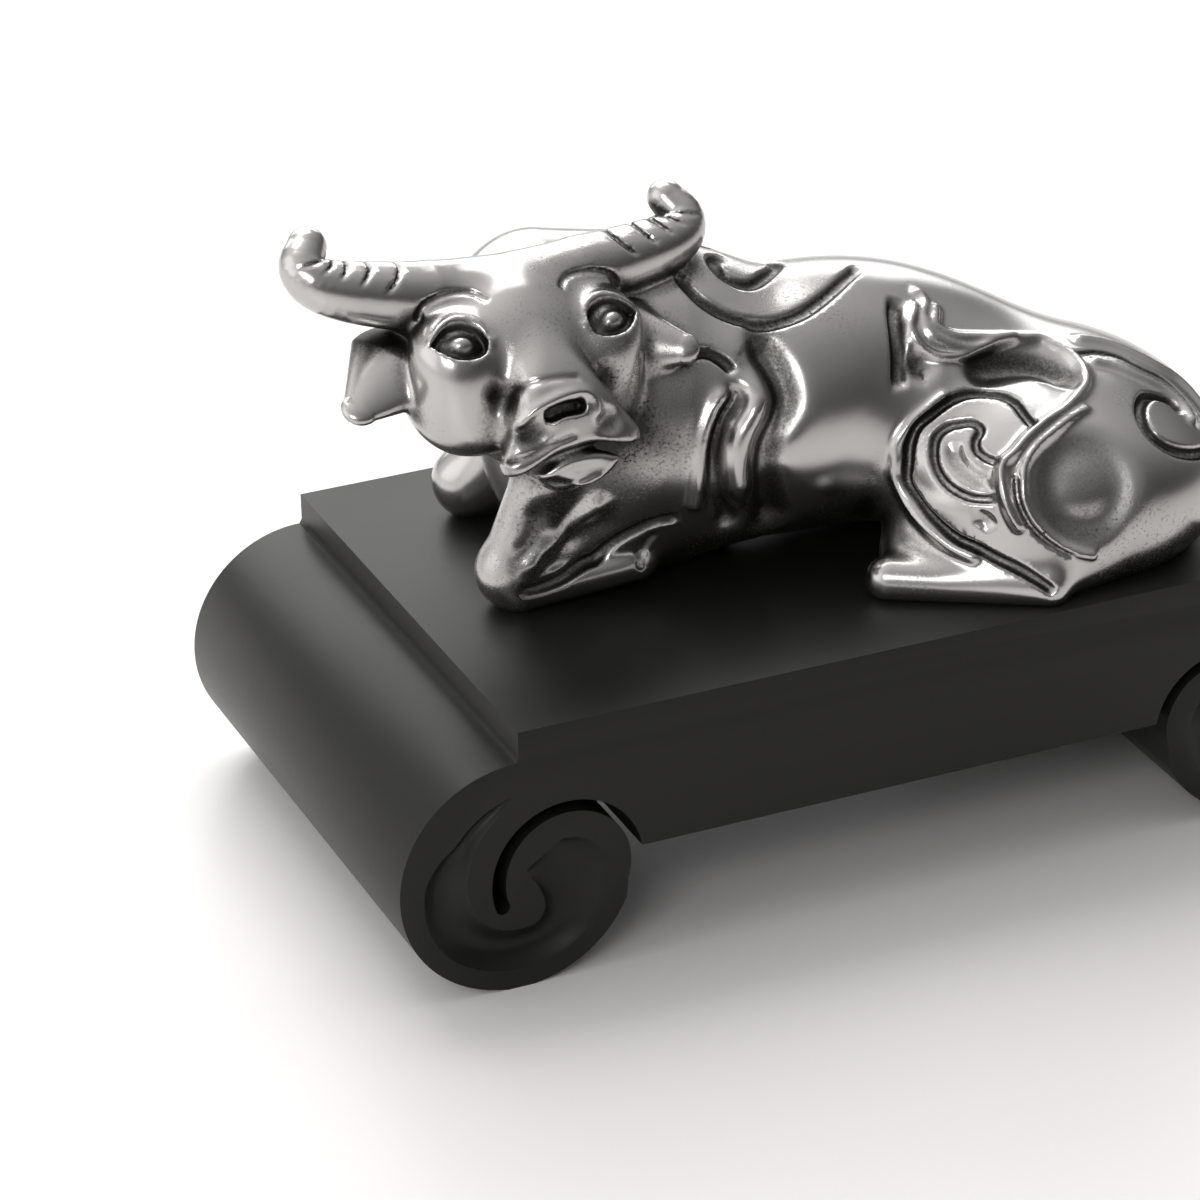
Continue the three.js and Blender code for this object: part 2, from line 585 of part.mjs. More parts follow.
// A closed body between two flat ends: the outline (x, z) drawn out from y = -width / 2 to width / 2
function prism(outline, width) {
  const flat = outline.map(([x, z]) => new THREE.Vector2(x, z));
  const caps = THREE.ShapeUtils.triangulateShape(flat, []);
  const n = outline.length;
  const points = [-width / 2, width / 2].flatMap((y) => outline.map(([x, z]) => [x, y, z]));
  const faces = caps.flatMap(([a, b, c]) => [a, b, c, n + a, n + c, n + b]);
  for (let i = 0; i < n; i += 1) {
    const j = (i + 1) % n;
    faces.push(i, n + j, j, i, n + i, n + j);
  }
  return { points, faces };
}

// The hollow of a scroll's end face, a crescent that winds inwards about the scroll's centre:
// angle, then the radius of its outer and of its inner edge
const coveEdges = [
  [94, 12.3, 12.0], [105, 11.9, 10.3], [122, 11.5, 9.1], [143, 11.3, 8.2], [159, 12.5, 7.6], [174, 13.5, 7.5],
  [189, 13.9, 7.5], [205, 14.3, 7.6], [225, 14.5, 7.9], [245, 14.4, 8.1], [268, 14.3, 8.1], [290, 14.3, 7.9],
  [306, 14.4, 6.2], [322, 14.2, 3.4], [340, 13.6, 1.7], [355, 13.0, 1.5], [370, 11.7, 1.4], [383, 9.8, 1.3],
  [394, 7.6, 1.3],
];

function coveCutter() {
  const points = [];
  const faces = [];
  const across = 5;
  const ring = across + 3;
  coveEdges.forEach(([angle, outer, inner]) => {
    const [c, s] = [Math.cos(angle * degrees), Math.sin(angle * degrees)];
    const depth = Math.min(coveDepth, 0.45 * (outer - inner));
    const at = (radius, inwards) => [scrollCentre[0] + radius * c, inwards, scrollCentre[1] + radius * s];
    points.push(at(outer, -1));
    for (let j = 0; j <= across; j += 1) {
      const t = j / across;
      points.push(at(outer + (inner - outer) * t, depth * Math.sin(Math.PI * t)));
    }
    points.push(at(inner, -1));
  });
  const last = coveEdges.length - 1;
  for (let i = 0; i < last; i += 1) {
    for (let j = 0; j < ring; j += 1) {
      const [a, b] = [i * ring + j, i * ring + (j + 1) % ring];
      faces.push(a, b, b + ring, a, b + ring, a + ring);
    }
  }
  for (let j = 1; j + 1 < ring; j += 1) {
    faces.push(0, j + 1, j, last * ring, last * ring + j, last * ring + j + 1);
  }
  return { points, faces };
}

// Turns every facet outwards
function facingOut({ points, faces }) {
  let volume = 0;
  for (let i = 0; i < faces.length; i += 3) {
    const [a, b, c] = [points[faces[i]], points[faces[i + 1]], points[faces[i + 2]]];
    volume += dot(a, [b[1] * c[2] - b[2] * c[1], b[2] * c[0] - b[0] * c[2], b[0] * c[1] - b[1] * c[0]]);
  }
  return { points, faces: volume < 0 ? faces.slice().reverse() : faces };
}

async function buildStand() {
  const module = await ManifoldModule();
  module.setup();
  const solid = (shape) => {
    const { points, faces } = facingOut(shape);
    return new module.Manifold(new module.Mesh({
      numProp: 3,
      vertProperties: new Float32Array(points.flat()),
      triVerts: new Uint32Array(faces),
    }));
  };
  const left = halfOutline().map(([u, v]) => [u - slabLength / 2, standHeight + v]);
  const right = left.map(([x, z]) => [-x, z]).reverse();
  let stand = solid(prism([...left, ...right], standWidth));
  const cutter = coveCutter();
  for (const sideX of [-1, 1]) {
    for (const sideY of [-1, 1]) {
      const points = cutter.points.map(([u, inwards, v]) => [
        sideX * (slabLength / 2 - u), sideY * (standWidth / 2 - inwards), standHeight + v]);
      stand = stand.subtract(solid({ points, faces: cutter.faces }));
    }
  }
  const mesh = stand.getMesh();
  const geometry = new THREE.BufferGeometry();
  geometry.setAttribute('position', new THREE.Float32BufferAttribute(mesh.vertProperties, 3));
  geometry.setIndex(Array.from(mesh.triVerts));
  return geometry;
}

const part = new THREE.Group();
part.name = 'ox_on_stand';
for (const [name, geometry, material] of [
  ['stand', await buildStand(), lacquer],
  ['ox', buildOx(), pewter],
]) {
  const mesh = new THREE.Mesh(geometry, material);
  mesh.name = name;
  part.add(mesh);
}

export default part;
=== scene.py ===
import bpy
import bmesh
import math
from concurrent.futures import ThreadPoolExecutor
import numpy as np
from mathutils import Matrix, Vector


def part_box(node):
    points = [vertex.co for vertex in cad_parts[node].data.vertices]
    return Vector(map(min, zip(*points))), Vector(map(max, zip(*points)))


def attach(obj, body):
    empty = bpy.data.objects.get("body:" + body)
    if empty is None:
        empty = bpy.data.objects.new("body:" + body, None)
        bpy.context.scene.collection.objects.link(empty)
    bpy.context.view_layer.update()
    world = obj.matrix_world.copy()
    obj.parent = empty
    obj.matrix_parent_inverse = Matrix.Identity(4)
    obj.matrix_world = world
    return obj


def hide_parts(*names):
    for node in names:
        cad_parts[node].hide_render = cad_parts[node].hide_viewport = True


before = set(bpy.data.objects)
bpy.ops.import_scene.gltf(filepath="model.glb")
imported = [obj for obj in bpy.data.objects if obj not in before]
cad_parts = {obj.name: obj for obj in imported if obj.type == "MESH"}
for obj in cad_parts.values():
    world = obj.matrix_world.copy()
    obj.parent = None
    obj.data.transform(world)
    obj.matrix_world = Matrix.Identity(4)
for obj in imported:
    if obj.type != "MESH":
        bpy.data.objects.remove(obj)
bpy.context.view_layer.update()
scene = bpy.context.scene
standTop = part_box("stand")[1].z           # the ox stands here
millimetre = 0.001
print("frame loaded, stand top at", round(standTop * 1000, 1), "mm")


# Form kit. A form is a field over points (n, 3) in millimetres: negative inside, zero on the skin
# and about the distance in between. The ox's points count z from the top of the stand.

def length(v):
    return np.sqrt((v * v).sum(-1))


# Columns are the local axes after a yaw about z, then a pitch about y, in degrees
def turned(yaw=0, pitch=0):
    a, b = np.radians([yaw, pitch])
    aboutZ = np.array([[np.cos(a), -np.sin(a), 0], [np.sin(a), np.cos(a), 0], [0, 0, 1]])
    aboutY = np.array([[np.cos(b), 0, np.sin(b)], [0, 1, 0], [-np.sin(b), 0, np.cos(b)]])
    return aboutZ @ aboutY


# Scaled distance from the centre, k0, times (k0 - 1), over the length of its slope
def ellipsoid(p, centre, radii, axes=None):
    q = p - np.asarray(centre, float)
    if axes is not None:
        q = q @ axes
    r = np.asarray(radii, float)
    k0 = length(q / r)
    return k0 * (k0 - 1) / (length(q / (r * r)) + 1e-9)


# Distance to the nearest point of the line a-b, less a radius that runs evenly from ra to rb
def limb(p, a, b, ra, rb):
    a = np.asarray(a, float)
    along = np.asarray(b, float) - a
    t = np.clip(((p - a) @ along) / (along @ along), 0, 1)
    return length(p - a - t[:, None] * along) - (ra + (rb - ra) * t)


# The lower of two fields, rounded over by a parabola where they are within k of each other
def join(a, b, k):
    h = np.clip(0.5 + 0.5 * (b - a) / k, 0, 1)
    return b * (1 - h) + a * h - k * h * (1 - h)


# The higher of two fields with the same rounding: what both hold
def both(a, b, k):
    return -join(-a, -b, k)


# What a holds without b
def carve(a, b, k):
    return -join(-a, b, k)


# Zero below low, one above high, 3t^2 - 2t^3 between them
def ramp(low, high, x):
    t = np.clip((x - low) / (high - low), 0, 1)
    return t * t * (3 - 2 * t)


# A curve through the points, each span the cubic whose end slopes follow the neighbours
def smoothPath(points, count):
    p = np.asarray(points, float)
    p = np.vstack([2 * p[0] - p[1], p, 2 * p[-1] - p[-2]])
    spans = len(p) - 3
    t = np.linspace(0, spans, count)
    i = np.minimum(t.astype(int), spans - 1)
    f = (t - i)[:, None]
    a, b, c, d = p[i], p[i + 1], p[i + 2], p[i + 3]
    return 0.5 * (2 * b + (c - a) * f + (2 * a - 5 * b + 4 * c - d) * f ** 2
                  + (3 * b - a - 3 * c + d) * f ** 3)


# Distance to a path of straight pieces, how far along it the nearest point lies, and its length
def nearPath(p, path):
    best = np.full(len(p), 1e9)
    where = np.zeros(len(p))
    run = 0.0
    for start, end in zip(path[:-1], path[1:]):
        along = end - start
        stretch = math.sqrt(along @ along) + 1e-9
        t = np.clip(((p - start) @ along) / stretch ** 2, 0, 1)
        d = length(p - start - t[:, None] * along)
        closer = d < best
        best[closer] = d[closer]
        where[closer] = run + t[closer] * stretch
        run += stretch
    return best, where, run


# Distance to a path less a radius that follows the list, evenly spread along it
def tube(p, path, radii):
    d, where, total = nearPath(p, path)
    return d - np.interp(where / total, np.linspace(0, 1, len(radii)), radii)


# A field at many points, worked out in parts side by side
def atAll(field, p):
    parts = np.array_split(p, len(p) // 25000 + 1)
    with ThreadPoolExecutor() as pool:
        return np.concatenate(list(pool.map(field, parts)))


# Slope of a field by central differences
def slopeOf(field, p, h):
    steps = np.eye(3) * h
    return np.stack([(atAll(field, p + e) - atAll(field, p - e)) / (2 * h) for e in steps], 1)


# Moves points down the slope onto the zero surface
def settle(field, p, rounds, reach, h=0.1):
    for _ in range(rounds):
        slope = slopeOf(field, p, h)
        step = atAll(field, p) / np.maximum((slope * slope).sum(1), 0.1)
        p = p - np.clip(step, -reach, reach)[:, None] * slope
    return p


# The ox, cast in one piece
oxShape = {
    "cells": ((0.42, 0.58, 0.85)),
    "most": 192000,                                  # triangles
    "headCentre": (-42, -10, 42.6),                  # midway between the eyes
    "headPitch": 31.5,                               # the face looks down
    "headRoll": -2,
    "plateCentre": (0.1, 15.6, -1.2),                # flat front of the muzzle, in the head's axes
    "plateTurn": 5.5,
    "earFlatness": 2.2,
    "notchesFromTip": (3.4, 5.6, 8.0, 10.8, 14.4),
}


# Axes of the head as columns: across to its left, forward down the nose, up out of the face
def headAxes(pitch, roll):
    a, b = np.radians([pitch, roll])
    forward = np.array([0, -np.cos(a), -np.sin(a)])
    up = np.array([0, -np.sin(a), np.cos(a)])
    across = np.array([1.0, 0, 0])
    return np.stack([np.cos(b) * across + np.sin(b) * up, forward,
                     np.cos(b) * up - np.sin(b) * across], 1)


headTurn = headAxes(oxShape["headPitch"], oxShape["headRoll"])
headCentre = np.array(oxShape["headCentre"], float)
hornPath = smoothPath([(0, -9, -1.1), (10, -9, -1.0), (18, -9.9, 0.2), (25.5, -11.7, 1.5),
                       (28, -14.4, 2.6), (26.6, -17.3, 3.4)], 26)
hornRadii = (4.0, 4.7, 5.0, 4.6, 4.2, 3.6, 2.7)


def toHead(p):
    return (p - headCentre) @ headTurn


def fromHead(q):
    return headCentre + np.asarray(q, float) @ headTurn.T


# Muzzle plate: u across, v down along the plate, w out of it
plateDown = np.array([0, 0.76, -0.65])
plateOut = np.array([0, 0.65, 0.76])


def toPlate(q):
    d = q - np.array(oxShape["plateCentre"])
    u, v, w = d[:, 0], d @ plateDown, d @ plateOut
    a = math.radians(oxShape["plateTurn"])
    return u * math.cos(a) - v * math.sin(a), v * math.cos(a) + u * math.sin(a), w


def body(p):
    f = ellipsoid(p, (-21, 4, 20.5), (22, 18.5, 22.5))                             # chest
    f = join(f, ellipsoid(p, (2, 0, 20.5), (34, 18.5, 19.2)), 6)                   # barrel
    f = join(f, ellipsoid(p, (35, -10, 12), (27.5, 21, 16.2), turned(-12, 12)), 9)  # rump
    f = join(f, limb(p, (-24, 2, 27), (-38, 0, 33), 14, 9), 8)                     # neck
    f = join(f, limb(p, (-12, 5, 34), (-38, 7, 37), 8, 8.5), 8)                    # crest of the neck
    f = join(f, limb(p, (-20, 8.5, 37), (-33, 10, 38.8), 8, 9.2), 5)               # hump behind the head
    f = join(f, ellipsoid(p, (33, -22.8, 10), (24, 16.2, 14.5), turned(-8, 4)), 5)  # near haunch
    f = join(f, ellipsoid(p, (35, 6, 10), (22, 15, 13.5), turned(-16, 4)), 5)      # far haunch
    f = join(f, ellipsoid(p, (-11, -7.5, 21), (8.5, 8, 14)), 5)                    # near shoulder
    f = join(f, ellipsoid(p, (-13, 18, 19), (10, 8, 16)), 5)                       # far shoulder
    f = carve(f, ellipsoid(p, (1, -20, -2.5), (14, 13, 6.5)), 3)                   # under the belly
    return carve(f, ellipsoid(p, (4, 23, -2.5), (14, 10, 6.5)), 3)


def forelegs(p):
    near = limb(p, (-43, -5.4, 3.6), (-12, 1.5, 3), 4, 4)                          # folded shank
    near = join(near, limb(p, (-43.5, -4.2, 5.2), (-20, -3, 12), 4.2, 8), 2)       # forearm
    near = join(near, limb(p, (-44, -5.4, 5), (-38.2, -6.8, 21), 4.2, 4.2), 2)     # front of the leg
    near = join(near, limb(p, (-42.5, -6.8, 2.6), (-26, -8.6, 4.6), 3, 3), 1.5)    # edge along the slab
    far = limb(p, (-37.5, 24.5, 3.8), (-10, 20, 3), 4.2, 4)
    far = join(far, limb(p, (-38, 24, 5.2), (-20, 17, 12), 4.4, 8.5), 2)
    far = join(far, limb(p, (-38, 24, 6), (-28, 15, 20), 4, 5.5), 3)
    return join(near, far, 2)


def hindFeet(p):
    near = limb(p, (4.8, -25.4, 2.5), (24, -36.4, 2.0), 3.2, 3.0)
    near = join(near, limb(p, (11, -21.5, 3), (29, -32, 5), 5, 5.5), 3)
    return join(near, limb(p, (10, 20, 2.8), (38, 14, 2.8), 3, 4.4), 1)


# A shield with sloping sides that rolls over into them, and an arched lower edge as deep as the lips
def muzzlePlate(q):
    u, v, w = toPlate(q)
    halfWidth = 10.6 - 0.6 * np.maximum(2.6 - v, 0) + 0.25 * np.minimum(w + 1.5, 0)
    sides = (np.abs(u - 1.0) - halfWidth) * 0.85
    lowerEdge = v - (2.3 + 2.1 * ramp(1.0, 9.5, np.abs(u - 0.9)))
    face = w + 0.01 * u * u + 0.01 * np.minimum(v, 0) ** 2 + 0.05 * np.minimum(v + 4, 0) ** 2 - 0.2
    return both(both(both(sides, face, 2.6), lowerEdge, 0.9), -5.5 - w, 2)


# The lower lip is a leaf with its tips to the sides, a little behind the plate
def lowerLip(q):
    u, v, w = toPlate(q)
    u = u - 1.8
    v = v - 5.8 - 0.03 * u
    leaf = both(-v - (2.3 - 0.06 * u * u), v - (2.4 - 0.067 * u * u), 0.7) * 0.85
    return both(both(leaf, w + 0.8 + 0.02 * u * u, 1.3), -7.0 - w, 1.5)


# Both horns from one path; the one above the neck is bent down by a tenth of its reach
def hornPoint(q):
    bent = 0.1 * np.maximum(q[:, 0] - 12, 0)
    return np.stack([np.abs(q[:, 0]), q[:, 1] - 0.52 * bent, q[:, 2] + 0.85 * bent], 1)


def head(p):
    q = toHead(p)
    s = np.stack([np.abs(q[:, 0]), q[:, 1], q[:, 2]], 1)                           # both halves alike
    f = ellipsoid(q, (0, -2, -8.5), (16.2, 12, 12.3))                              # skull
    f = join(f, ellipsoid(s, (7, 3.3, -8.0), (9.8, 9.0, 7.2)), 3)                  # cheeks
    f = carve(f, ellipsoid(q, (0, 16, -18), (20, 9, 8.5)), 2.5)
    f = join(f, ellipsoid(q, (0, -4, -2.8), (12.5, 9, 5.2)), 4)                    # forehead
    f = join(f, limb(q, (0, -4, -3.2), (0.2, 9.8, -3.2), 6.8, 5.6), 4)             # bridge of the nose
    f = join(f, muzzlePlate(q), 3)
    f = join(f, limb(q, (1.0, 15.4, -8.6), (0, 5, -13), 4.2, 6.5), 2)              # jaw
    f = join(f, lowerLip(q), 0.8)
    f = join(f, tube(hornPoint(q), hornPath, hornRadii), 2.2)
    f = join(f, ellipsoid(s, (10.9, 3.2, -3.0), (5.0, 5.5, 5.0)), 3)               # dome of the eye
    f = join(f, ellipsoid(s, (10.9, 0.6, -0.9), (5.7, 6.0, 4.9)), 2)
    return f


# A limb of which only a part of the thickness is left along the direction n: space is stretched
# that way by the inverse before the distance is taken
def flatLimb(p, a, b, ra, rb, n):
    a, b, n = (np.asarray(v, float) for v in (a, b, n))
    more = oxShape["earFlatness"] - 1
    stretched = p + more * (p @ n)[:, None] * n
    return limb(stretched, a + more * (a @ n) * n, b + more * (b @ n) * n, ra, rb) / 1.6


# The free ear stands out to the side, and the one beside the neck is folded forward
def ears(p):
    q = toHead(p)
    free = flatLimb(q * [-1, 1, 1], (17, -2.3, -7.3), (23.8, 2.6, -7.4), 7.2, 2.6, (0, 0, 1))
    folded = flatLimb(q, (15.8, 0.8, -4.6), (21.9, 5.3, -2.3), 5.2, 2.1, (-0.3, 0.4, 0.866))
    return np.minimum(free, folded)


def plainOx(p):
    f = join(body(p), forelegs(p), 2.5)
    f = join(f, hindFeet(p), 5)
    return join(join(f, head(p), 2), ears(p), 1.2)


# Carved strokes: half width, height (negative is cut in) and points near the skin
bodyStrokes = {
    "withersCurl": (0.95, -0.9, [(-9.5, 6, 43.6), (-5, 6.5, 41.8), (-0.5, 6, 40.6), (1.2, 3, 39.5),
        (-3, -1.5, 40), (-6, -3, 40), (-8.5, -2.5, 41), (-9.6, -1, 42.4), (-9.2, 1.5, 43),
        (-6.5, 2, 42.5)]),
    "withersArc": (0.95, -0.9, [(-16.5, -1.5, 44), (-15.5, -4.5, 42.5), (-14, -6.5, 40.5),
        (-11, -8, 38), (-7.5, -9, 37), (-4, -9.5, 37), (0, -9, 37.5), (4.5, -7, 38.5),
        (9, -4, 39.5), (12.5, -1, 39.5)]),
    "neckArc": (0.8, -0.9, [(-20.4, -12.3, 34.7), (-18.6, -11.8, 35.5), (-16.3, -11.9, 35.4),
        (-14.4, -13.0, 34.1), (-13.2, -14.2, 32.4)]),
    "shoulderFold": (2.5, -2.5, [(-10.4, -9.7, 37.0), (-8.6, -11.0, 35.8), (-7.4, -13.7, 33.1),
        (-7.0, -16.4, 28.7), (-7.9, -17.1, 26.7), (-9.8, -17.7, 23.7), (-10.9, -17.8, 19.5),
        (-9.9, -17.2, 15.0), (-8.3, -14.9, 9.7), (-7.5, -12.5, 6.0)]),
    "shoulderBulge": (3.4, 2.4, [(-11.6, -13.5, 33.5), (-11.0, -15.6, 30.3), (-11.6, -16.8, 27.4),
        (-13.8, -17.2, 24.4), (-14.6, -17.4, 20.1), (-13.9, -16.9, 15.5), (-12.3, -16.0, 12.0)]),
    "shoulderValley": (1.7, -1.7, [(-11.6, -14.8, 31.6), (-14.5, -15.8, 29.0), (-16.5, -16.2, 26.6),
        (-17.6, -16.6, 22.7), (-17.2, -16.5, 18.4), (-16.5, -16.1, 15.0), (-15.1, -15.1, 11.5),
        (-14.4, -13.5, 8.0)]),
    "shoulderRidge": (1.1, 1.2, [(-14.1, -14.9, 31.2), (-16.5, -15.4, 29.2), (-18.3, -16.0, 26.2),
        (-19.3, -16.3, 22.9), (-19.8, -16.0, 18.7), (-19.9, -15.2, 14.7), (-20.4, -14.5, 13.0)]),
    "legGroove": (0.9, -0.85, [(-44.6, -9.7, 4.2), (-40.9, -9.4, 3.9), (-34.5, -8.6, 4.9),
        (-31.2, -10.0, 8.1), (-27.9, -11.7, 10.6), (-25.0, -13.2, 12.2), (-21.4, -14.2, 12.6)]),
    "legValley": (2.3, -1.2, [(-41.4, -10.0, 18.8), (-41.5, -10.1, 14.6), (-42.1, -9.7, 10.9),
        (-43.3, -9.6, 8.3), (-44.7, -9.7, 6.0)]),
    "legRidge": (1.5, 1.0, [(-44.3, -9.7, 6.0), (-40.8, -9.5, 9.3), (-37.4, -8.7, 11.3),
        (-34.7, -9.5, 13.5), (-32.7, -11.2, 15.7), (-31.9, -12.2, 18.1)]),
    "hoofSplit": (0.7, -0.4, [(-26.2, -8.4, 4.1), (-26.0, -11.1, 7.9), (-24.4, -12.6, 10.4)]),
    "haunchCrease": (1.2, -1.2, [(14.7, -7.6, 36.4), (13.0, -10.7, 34.9), (12.1, -13.3, 32.6),
        (11.4, -15.4, 30.2), (10.5, -17.0, 27.6), (10.4, -17.6, 26.4)]),
    "haunchRecess": (2.5, -1.5, [(11.0, -17.4, 26.8), (13.3, -16.3, 28.8), (14.9, -16.0, 29.1),
        (17.5, -17.0, 27.9)]),
    "longFlame": (0.9, 1.3, [(20.2, -8.2, 34.6), (19.1, -10.4, 33.6), (18.4, -11.9, 32.6),
        (19.4, -12.8, 31.7), (21.3, -13.4, 30.9), (25.1, -13.6, 30.1), (28.3, -13.7, 29.5),
        (31.2, -13.8, 28.9), (33.9, -14.0, 28.3), (35.2, -15.6, 27.7), (36.4, -17.4, 27.1),
        (37.0, -19.7, 26.5), (36.7, -22.2, 25.9), (35.5, -24.5, 25.3), (33.4, -26.4, 24.8),
        (30.3, -28.1, 24.0), (27.5, -28.8, 23.3), (25.4, -29.4, 22.6), (23.4, -30.0, 21.7),
        (21.3, -30.7, 20.4), (19.4, -31.0, 19.2), (18.6, -32.4, 17.0), (18.8, -34.2, 14.0),
        (20.2, -36.4, 10.5)]),
    "middleFlame": (0.75, 1.0, [(17.0, -6.4, 36.4), (18.3, -7.3, 35.6), (18.3, -8.8, 34.8),
        (17.2, -10.5, 34.0), (17.0, -12.0, 32.9), (17.5, -13.1, 31.8), (18.9, -13.9, 30.9),
        (20.7, -14.6, 30.1), (22.7, -14.8, 29.6), (25.3, -14.7, 29.4), (27.7, -14.1, 29.4),
        (30.6, -13.5, 29.1)]),
    "lowerFlame": (0.65, 0.9, [(16.0, -8.3, 35.7), (16.4, -9.3, 35.0), (15.6, -10.6, 34.3),
        (14.5, -12.0, 33.4), (14.8, -13.6, 31.9), (15.7, -14.5, 30.7), (17.4, -15.4, 29.7),
        (19.8, -15.7, 29.2), (22.3, -15.6, 29.1), (24.3, -15.1, 29.3), (26.5, -14.4, 29.4)]),
    "underCrest": (2.5, -2.5, [(19.0, -17.8, 27.5), (25.0, -17.6, 27.7), (30.3, -18.2, 27.3),
        (32.8, -20.2, 26.7), (33.2, -22.8, 26.1), (32.0, -25.0, 25.4)]),
    "bowlRim": (0.65, 0.8, [(34.5, -28.3, 23.9), (31.1, -29.4, 23.4), (27.2, -30.6, 22.3),
        (24.4, -31.4, 21.1), (22.1, -32.5, 19.3), (21.1, -33.9, 17.0), (20.9, -34.9, 15.0),
        (21.7, -36.1, 12.6), (23.4, -37.0, 10.4), (25.2, -37.6, 8.7), (27.7, -38.1, 7.4),
        (30.5, -38.4, 6.6)]),
    "bowlLine": (0.45, -0.5, [(20.6, -32.7, 18.3), (20.2, -33.5, 17.1), (20.1, -34.5, 15.0),
        (20.7, -35.7, 12.6), (22.3, -36.7, 10.3), (24.7, -37.6, 8.4), (27.1, -38.0, 7.0)]),
    "discGroove": (0.7, -0.9, [(25.5, -29.3, 22.7), (25.0, -26.8, 23.8), (24.7, -24.1, 24.9),
        (23.5, -22.2, 25.4), (21.4, -20.8, 25.6), (19.0, -20.0, 25.4), (16.6, -19.8, 24.7),
        (14.1, -19.9, 23.5), (11.8, -19.9, 22.0), (10.5, -20.4, 19.9), (9.8, -21.2, 17.5),
        (9.3, -21.9, 15.0), (9.6, -23.5, 13.5), (10.2, -25.8, 11.9), (11.3, -27.9, 10.5),
        (13.0, -30.0, 9.0), (15.2, -32.0, 8.0), (17.4, -33.9, 6.6), (19.3, -35.6, 5.6),
        (21.6, -38.1, 4.1), (23.7, -39.4, 2.2)]),
    "discLip": (0.8, 0.7, [(17.4, -19.2, 25.9), (14.4, -19.4, 24.3), (10.8, -19.5, 22.0),
        (8.9, -19.5, 19.6), (8.6, -20.0, 17.1), (8.3, -20.1, 15.4), (8.7, -21.2, 13.4),
        (9.2, -23.0, 11.6), (10.3, -25.8, 9.8), (11.8, -28.4, 8.2), (13.0, -30.1, 7.3),
        (15.5, -32.8, 6.2)]),
    "hook": (0.62, -0.75, [(17.7, -33.0, 15.2), (15.4, -31.3, 15.0), (14.0, -29.9, 15.2),
        (12.9, -28.0, 15.8), (12.3, -26.0, 16.8), (12.3, -24.3, 18.1), (12.8, -23.0, 19.6),
        (13.7, -22.2, 21.1), (15.4, -22.3, 22.2), (17.1, -23.1, 22.7), (18.4, -23.9, 22.9),
        (18.8, -25.3, 22.4), (17.6, -26.2, 21.3), (17.2, -27.3, 20.5), (17.7, -28.7, 19.9),
        (18.5, -29.9, 19.6), (19.3, -30.8, 19.3)]),
    "hookHollow": (1.1, -0.6, [(15.5, -24.1, 21.2), (14.6, -25.9, 19.4), (14.9, -28.1, 18.2),
        (16.2, -30.5, 17.2), (17.8, -32.0, 16.9)]),
    "notch": (1.1, -0.7, [(14.1, -31.1, 12.7), (15.8, -32.6, 12.3), (16.9, -33.6, 10.5)]),
    "tailUpper": (1.1, 0.9, [(38.5, -14.0, 27.4), (41.3, -13.8, 26.8), (44.7, -14.3, 25.7),
        (47.7, -15.6, 24.2), (50.7, -16.9, 22.4), (54.1, -18.0, 19.9), (56.0, -21.0, 17.5),
        (56.3, -25.0, 16.0)]),
    "tailLine": (0.55, -0.6, [(37.5, -17.5, 26.9), (41.5, -16.7, 26.2), (45.0, -17.2, 25.0),
        (47.7, -19.0, 23.5), (50.8, -20.1, 21.5), (52.3, -22.1, 19.9), (53.0, -24.9, 18.4),
        (52.4, -28.1, 17.5)]),
    "tailLower": (0.8, 0.9, [(38.4, -19.2, 26.4), (41.5, -20.1, 25.5), (44.3, -21.7, 24.2),
        (46.3, -22.7, 23.1), (48.8, -23.9, 21.9), (50.4, -26.0, 20.2), (50.6, -28.4, 18.9),
        (49.7, -29.9, 18.4)]),
    "tailCurl": (0.85, -1.2, [(49.1, -28.3, 19.6), (48.6, -26.5, 20.7), (47.2, -25.8, 21.8),
        (44.9, -26.0, 22.7), (42.6, -28.1, 22.6), (41.4, -30.5, 21.8), (41.5, -32.8, 20.3),
        (43.0, -34.1, 18.8), (45.3, -34.4, 17.4), (48.6, -33.6, 16.1), (52.5, -31.5, 15.0)]),
}

# The same on the head, in its own axes, for both halves
headStrokes = {
    "aboveBrow": (0.5, -0.35, [(15.6, -3.6, 1.2), (13.6, -5.4, 2.6), (10.4, -6.3, 3),
        (7.0, -5.7, 3.2), (5.0, -3.4, 3.4)]),
    "sideOfNose": (1.8, -0.8, [(6.4, 6.0, 0), (6.8, 8.5, -1), (7.8, 10.8, -3)]),
}


def laidStroke(half, height, points):
    path = smoothPath(points, 5 * len(points))
    return half, height, settle(plainOx, path, 6, 3, 0.2)


strokes = [laidStroke(*stroke) for stroke in bodyStrokes.values()]
for half, height, points in headStrokes.values():
    for side in (-1, 1):
        placed = fromHead([(side * x, y, z) for x, y, z in points])
        strokes.append(laidStroke(half, height, placed))

# Relief of the dish on the haunch: a bowl with a trough near its edge, shallower towards the rump
dishMiddle, dishAxes, dishRadii = np.array((29.4, -37, 16.8)), turned(-12), np.array((8.5, 9, 9.8))


def dishRelief(p):
    q = (p - dishMiddle) @ dishAxes / dishRadii
    r = length(q)
    openSide = ramp(-0.3, 0.9, (0.8 * q[:, 0] + 0.6 * q[:, 2]) / (r + 0.1))
    bowl = 1.7 * np.exp(-(r / 0.8) ** 4)
    trough = 0.6 * np.exp(-((r - 0.62) / 0.22) ** 2)
    return bowl + trough * (1 - 0.6 * openSide)


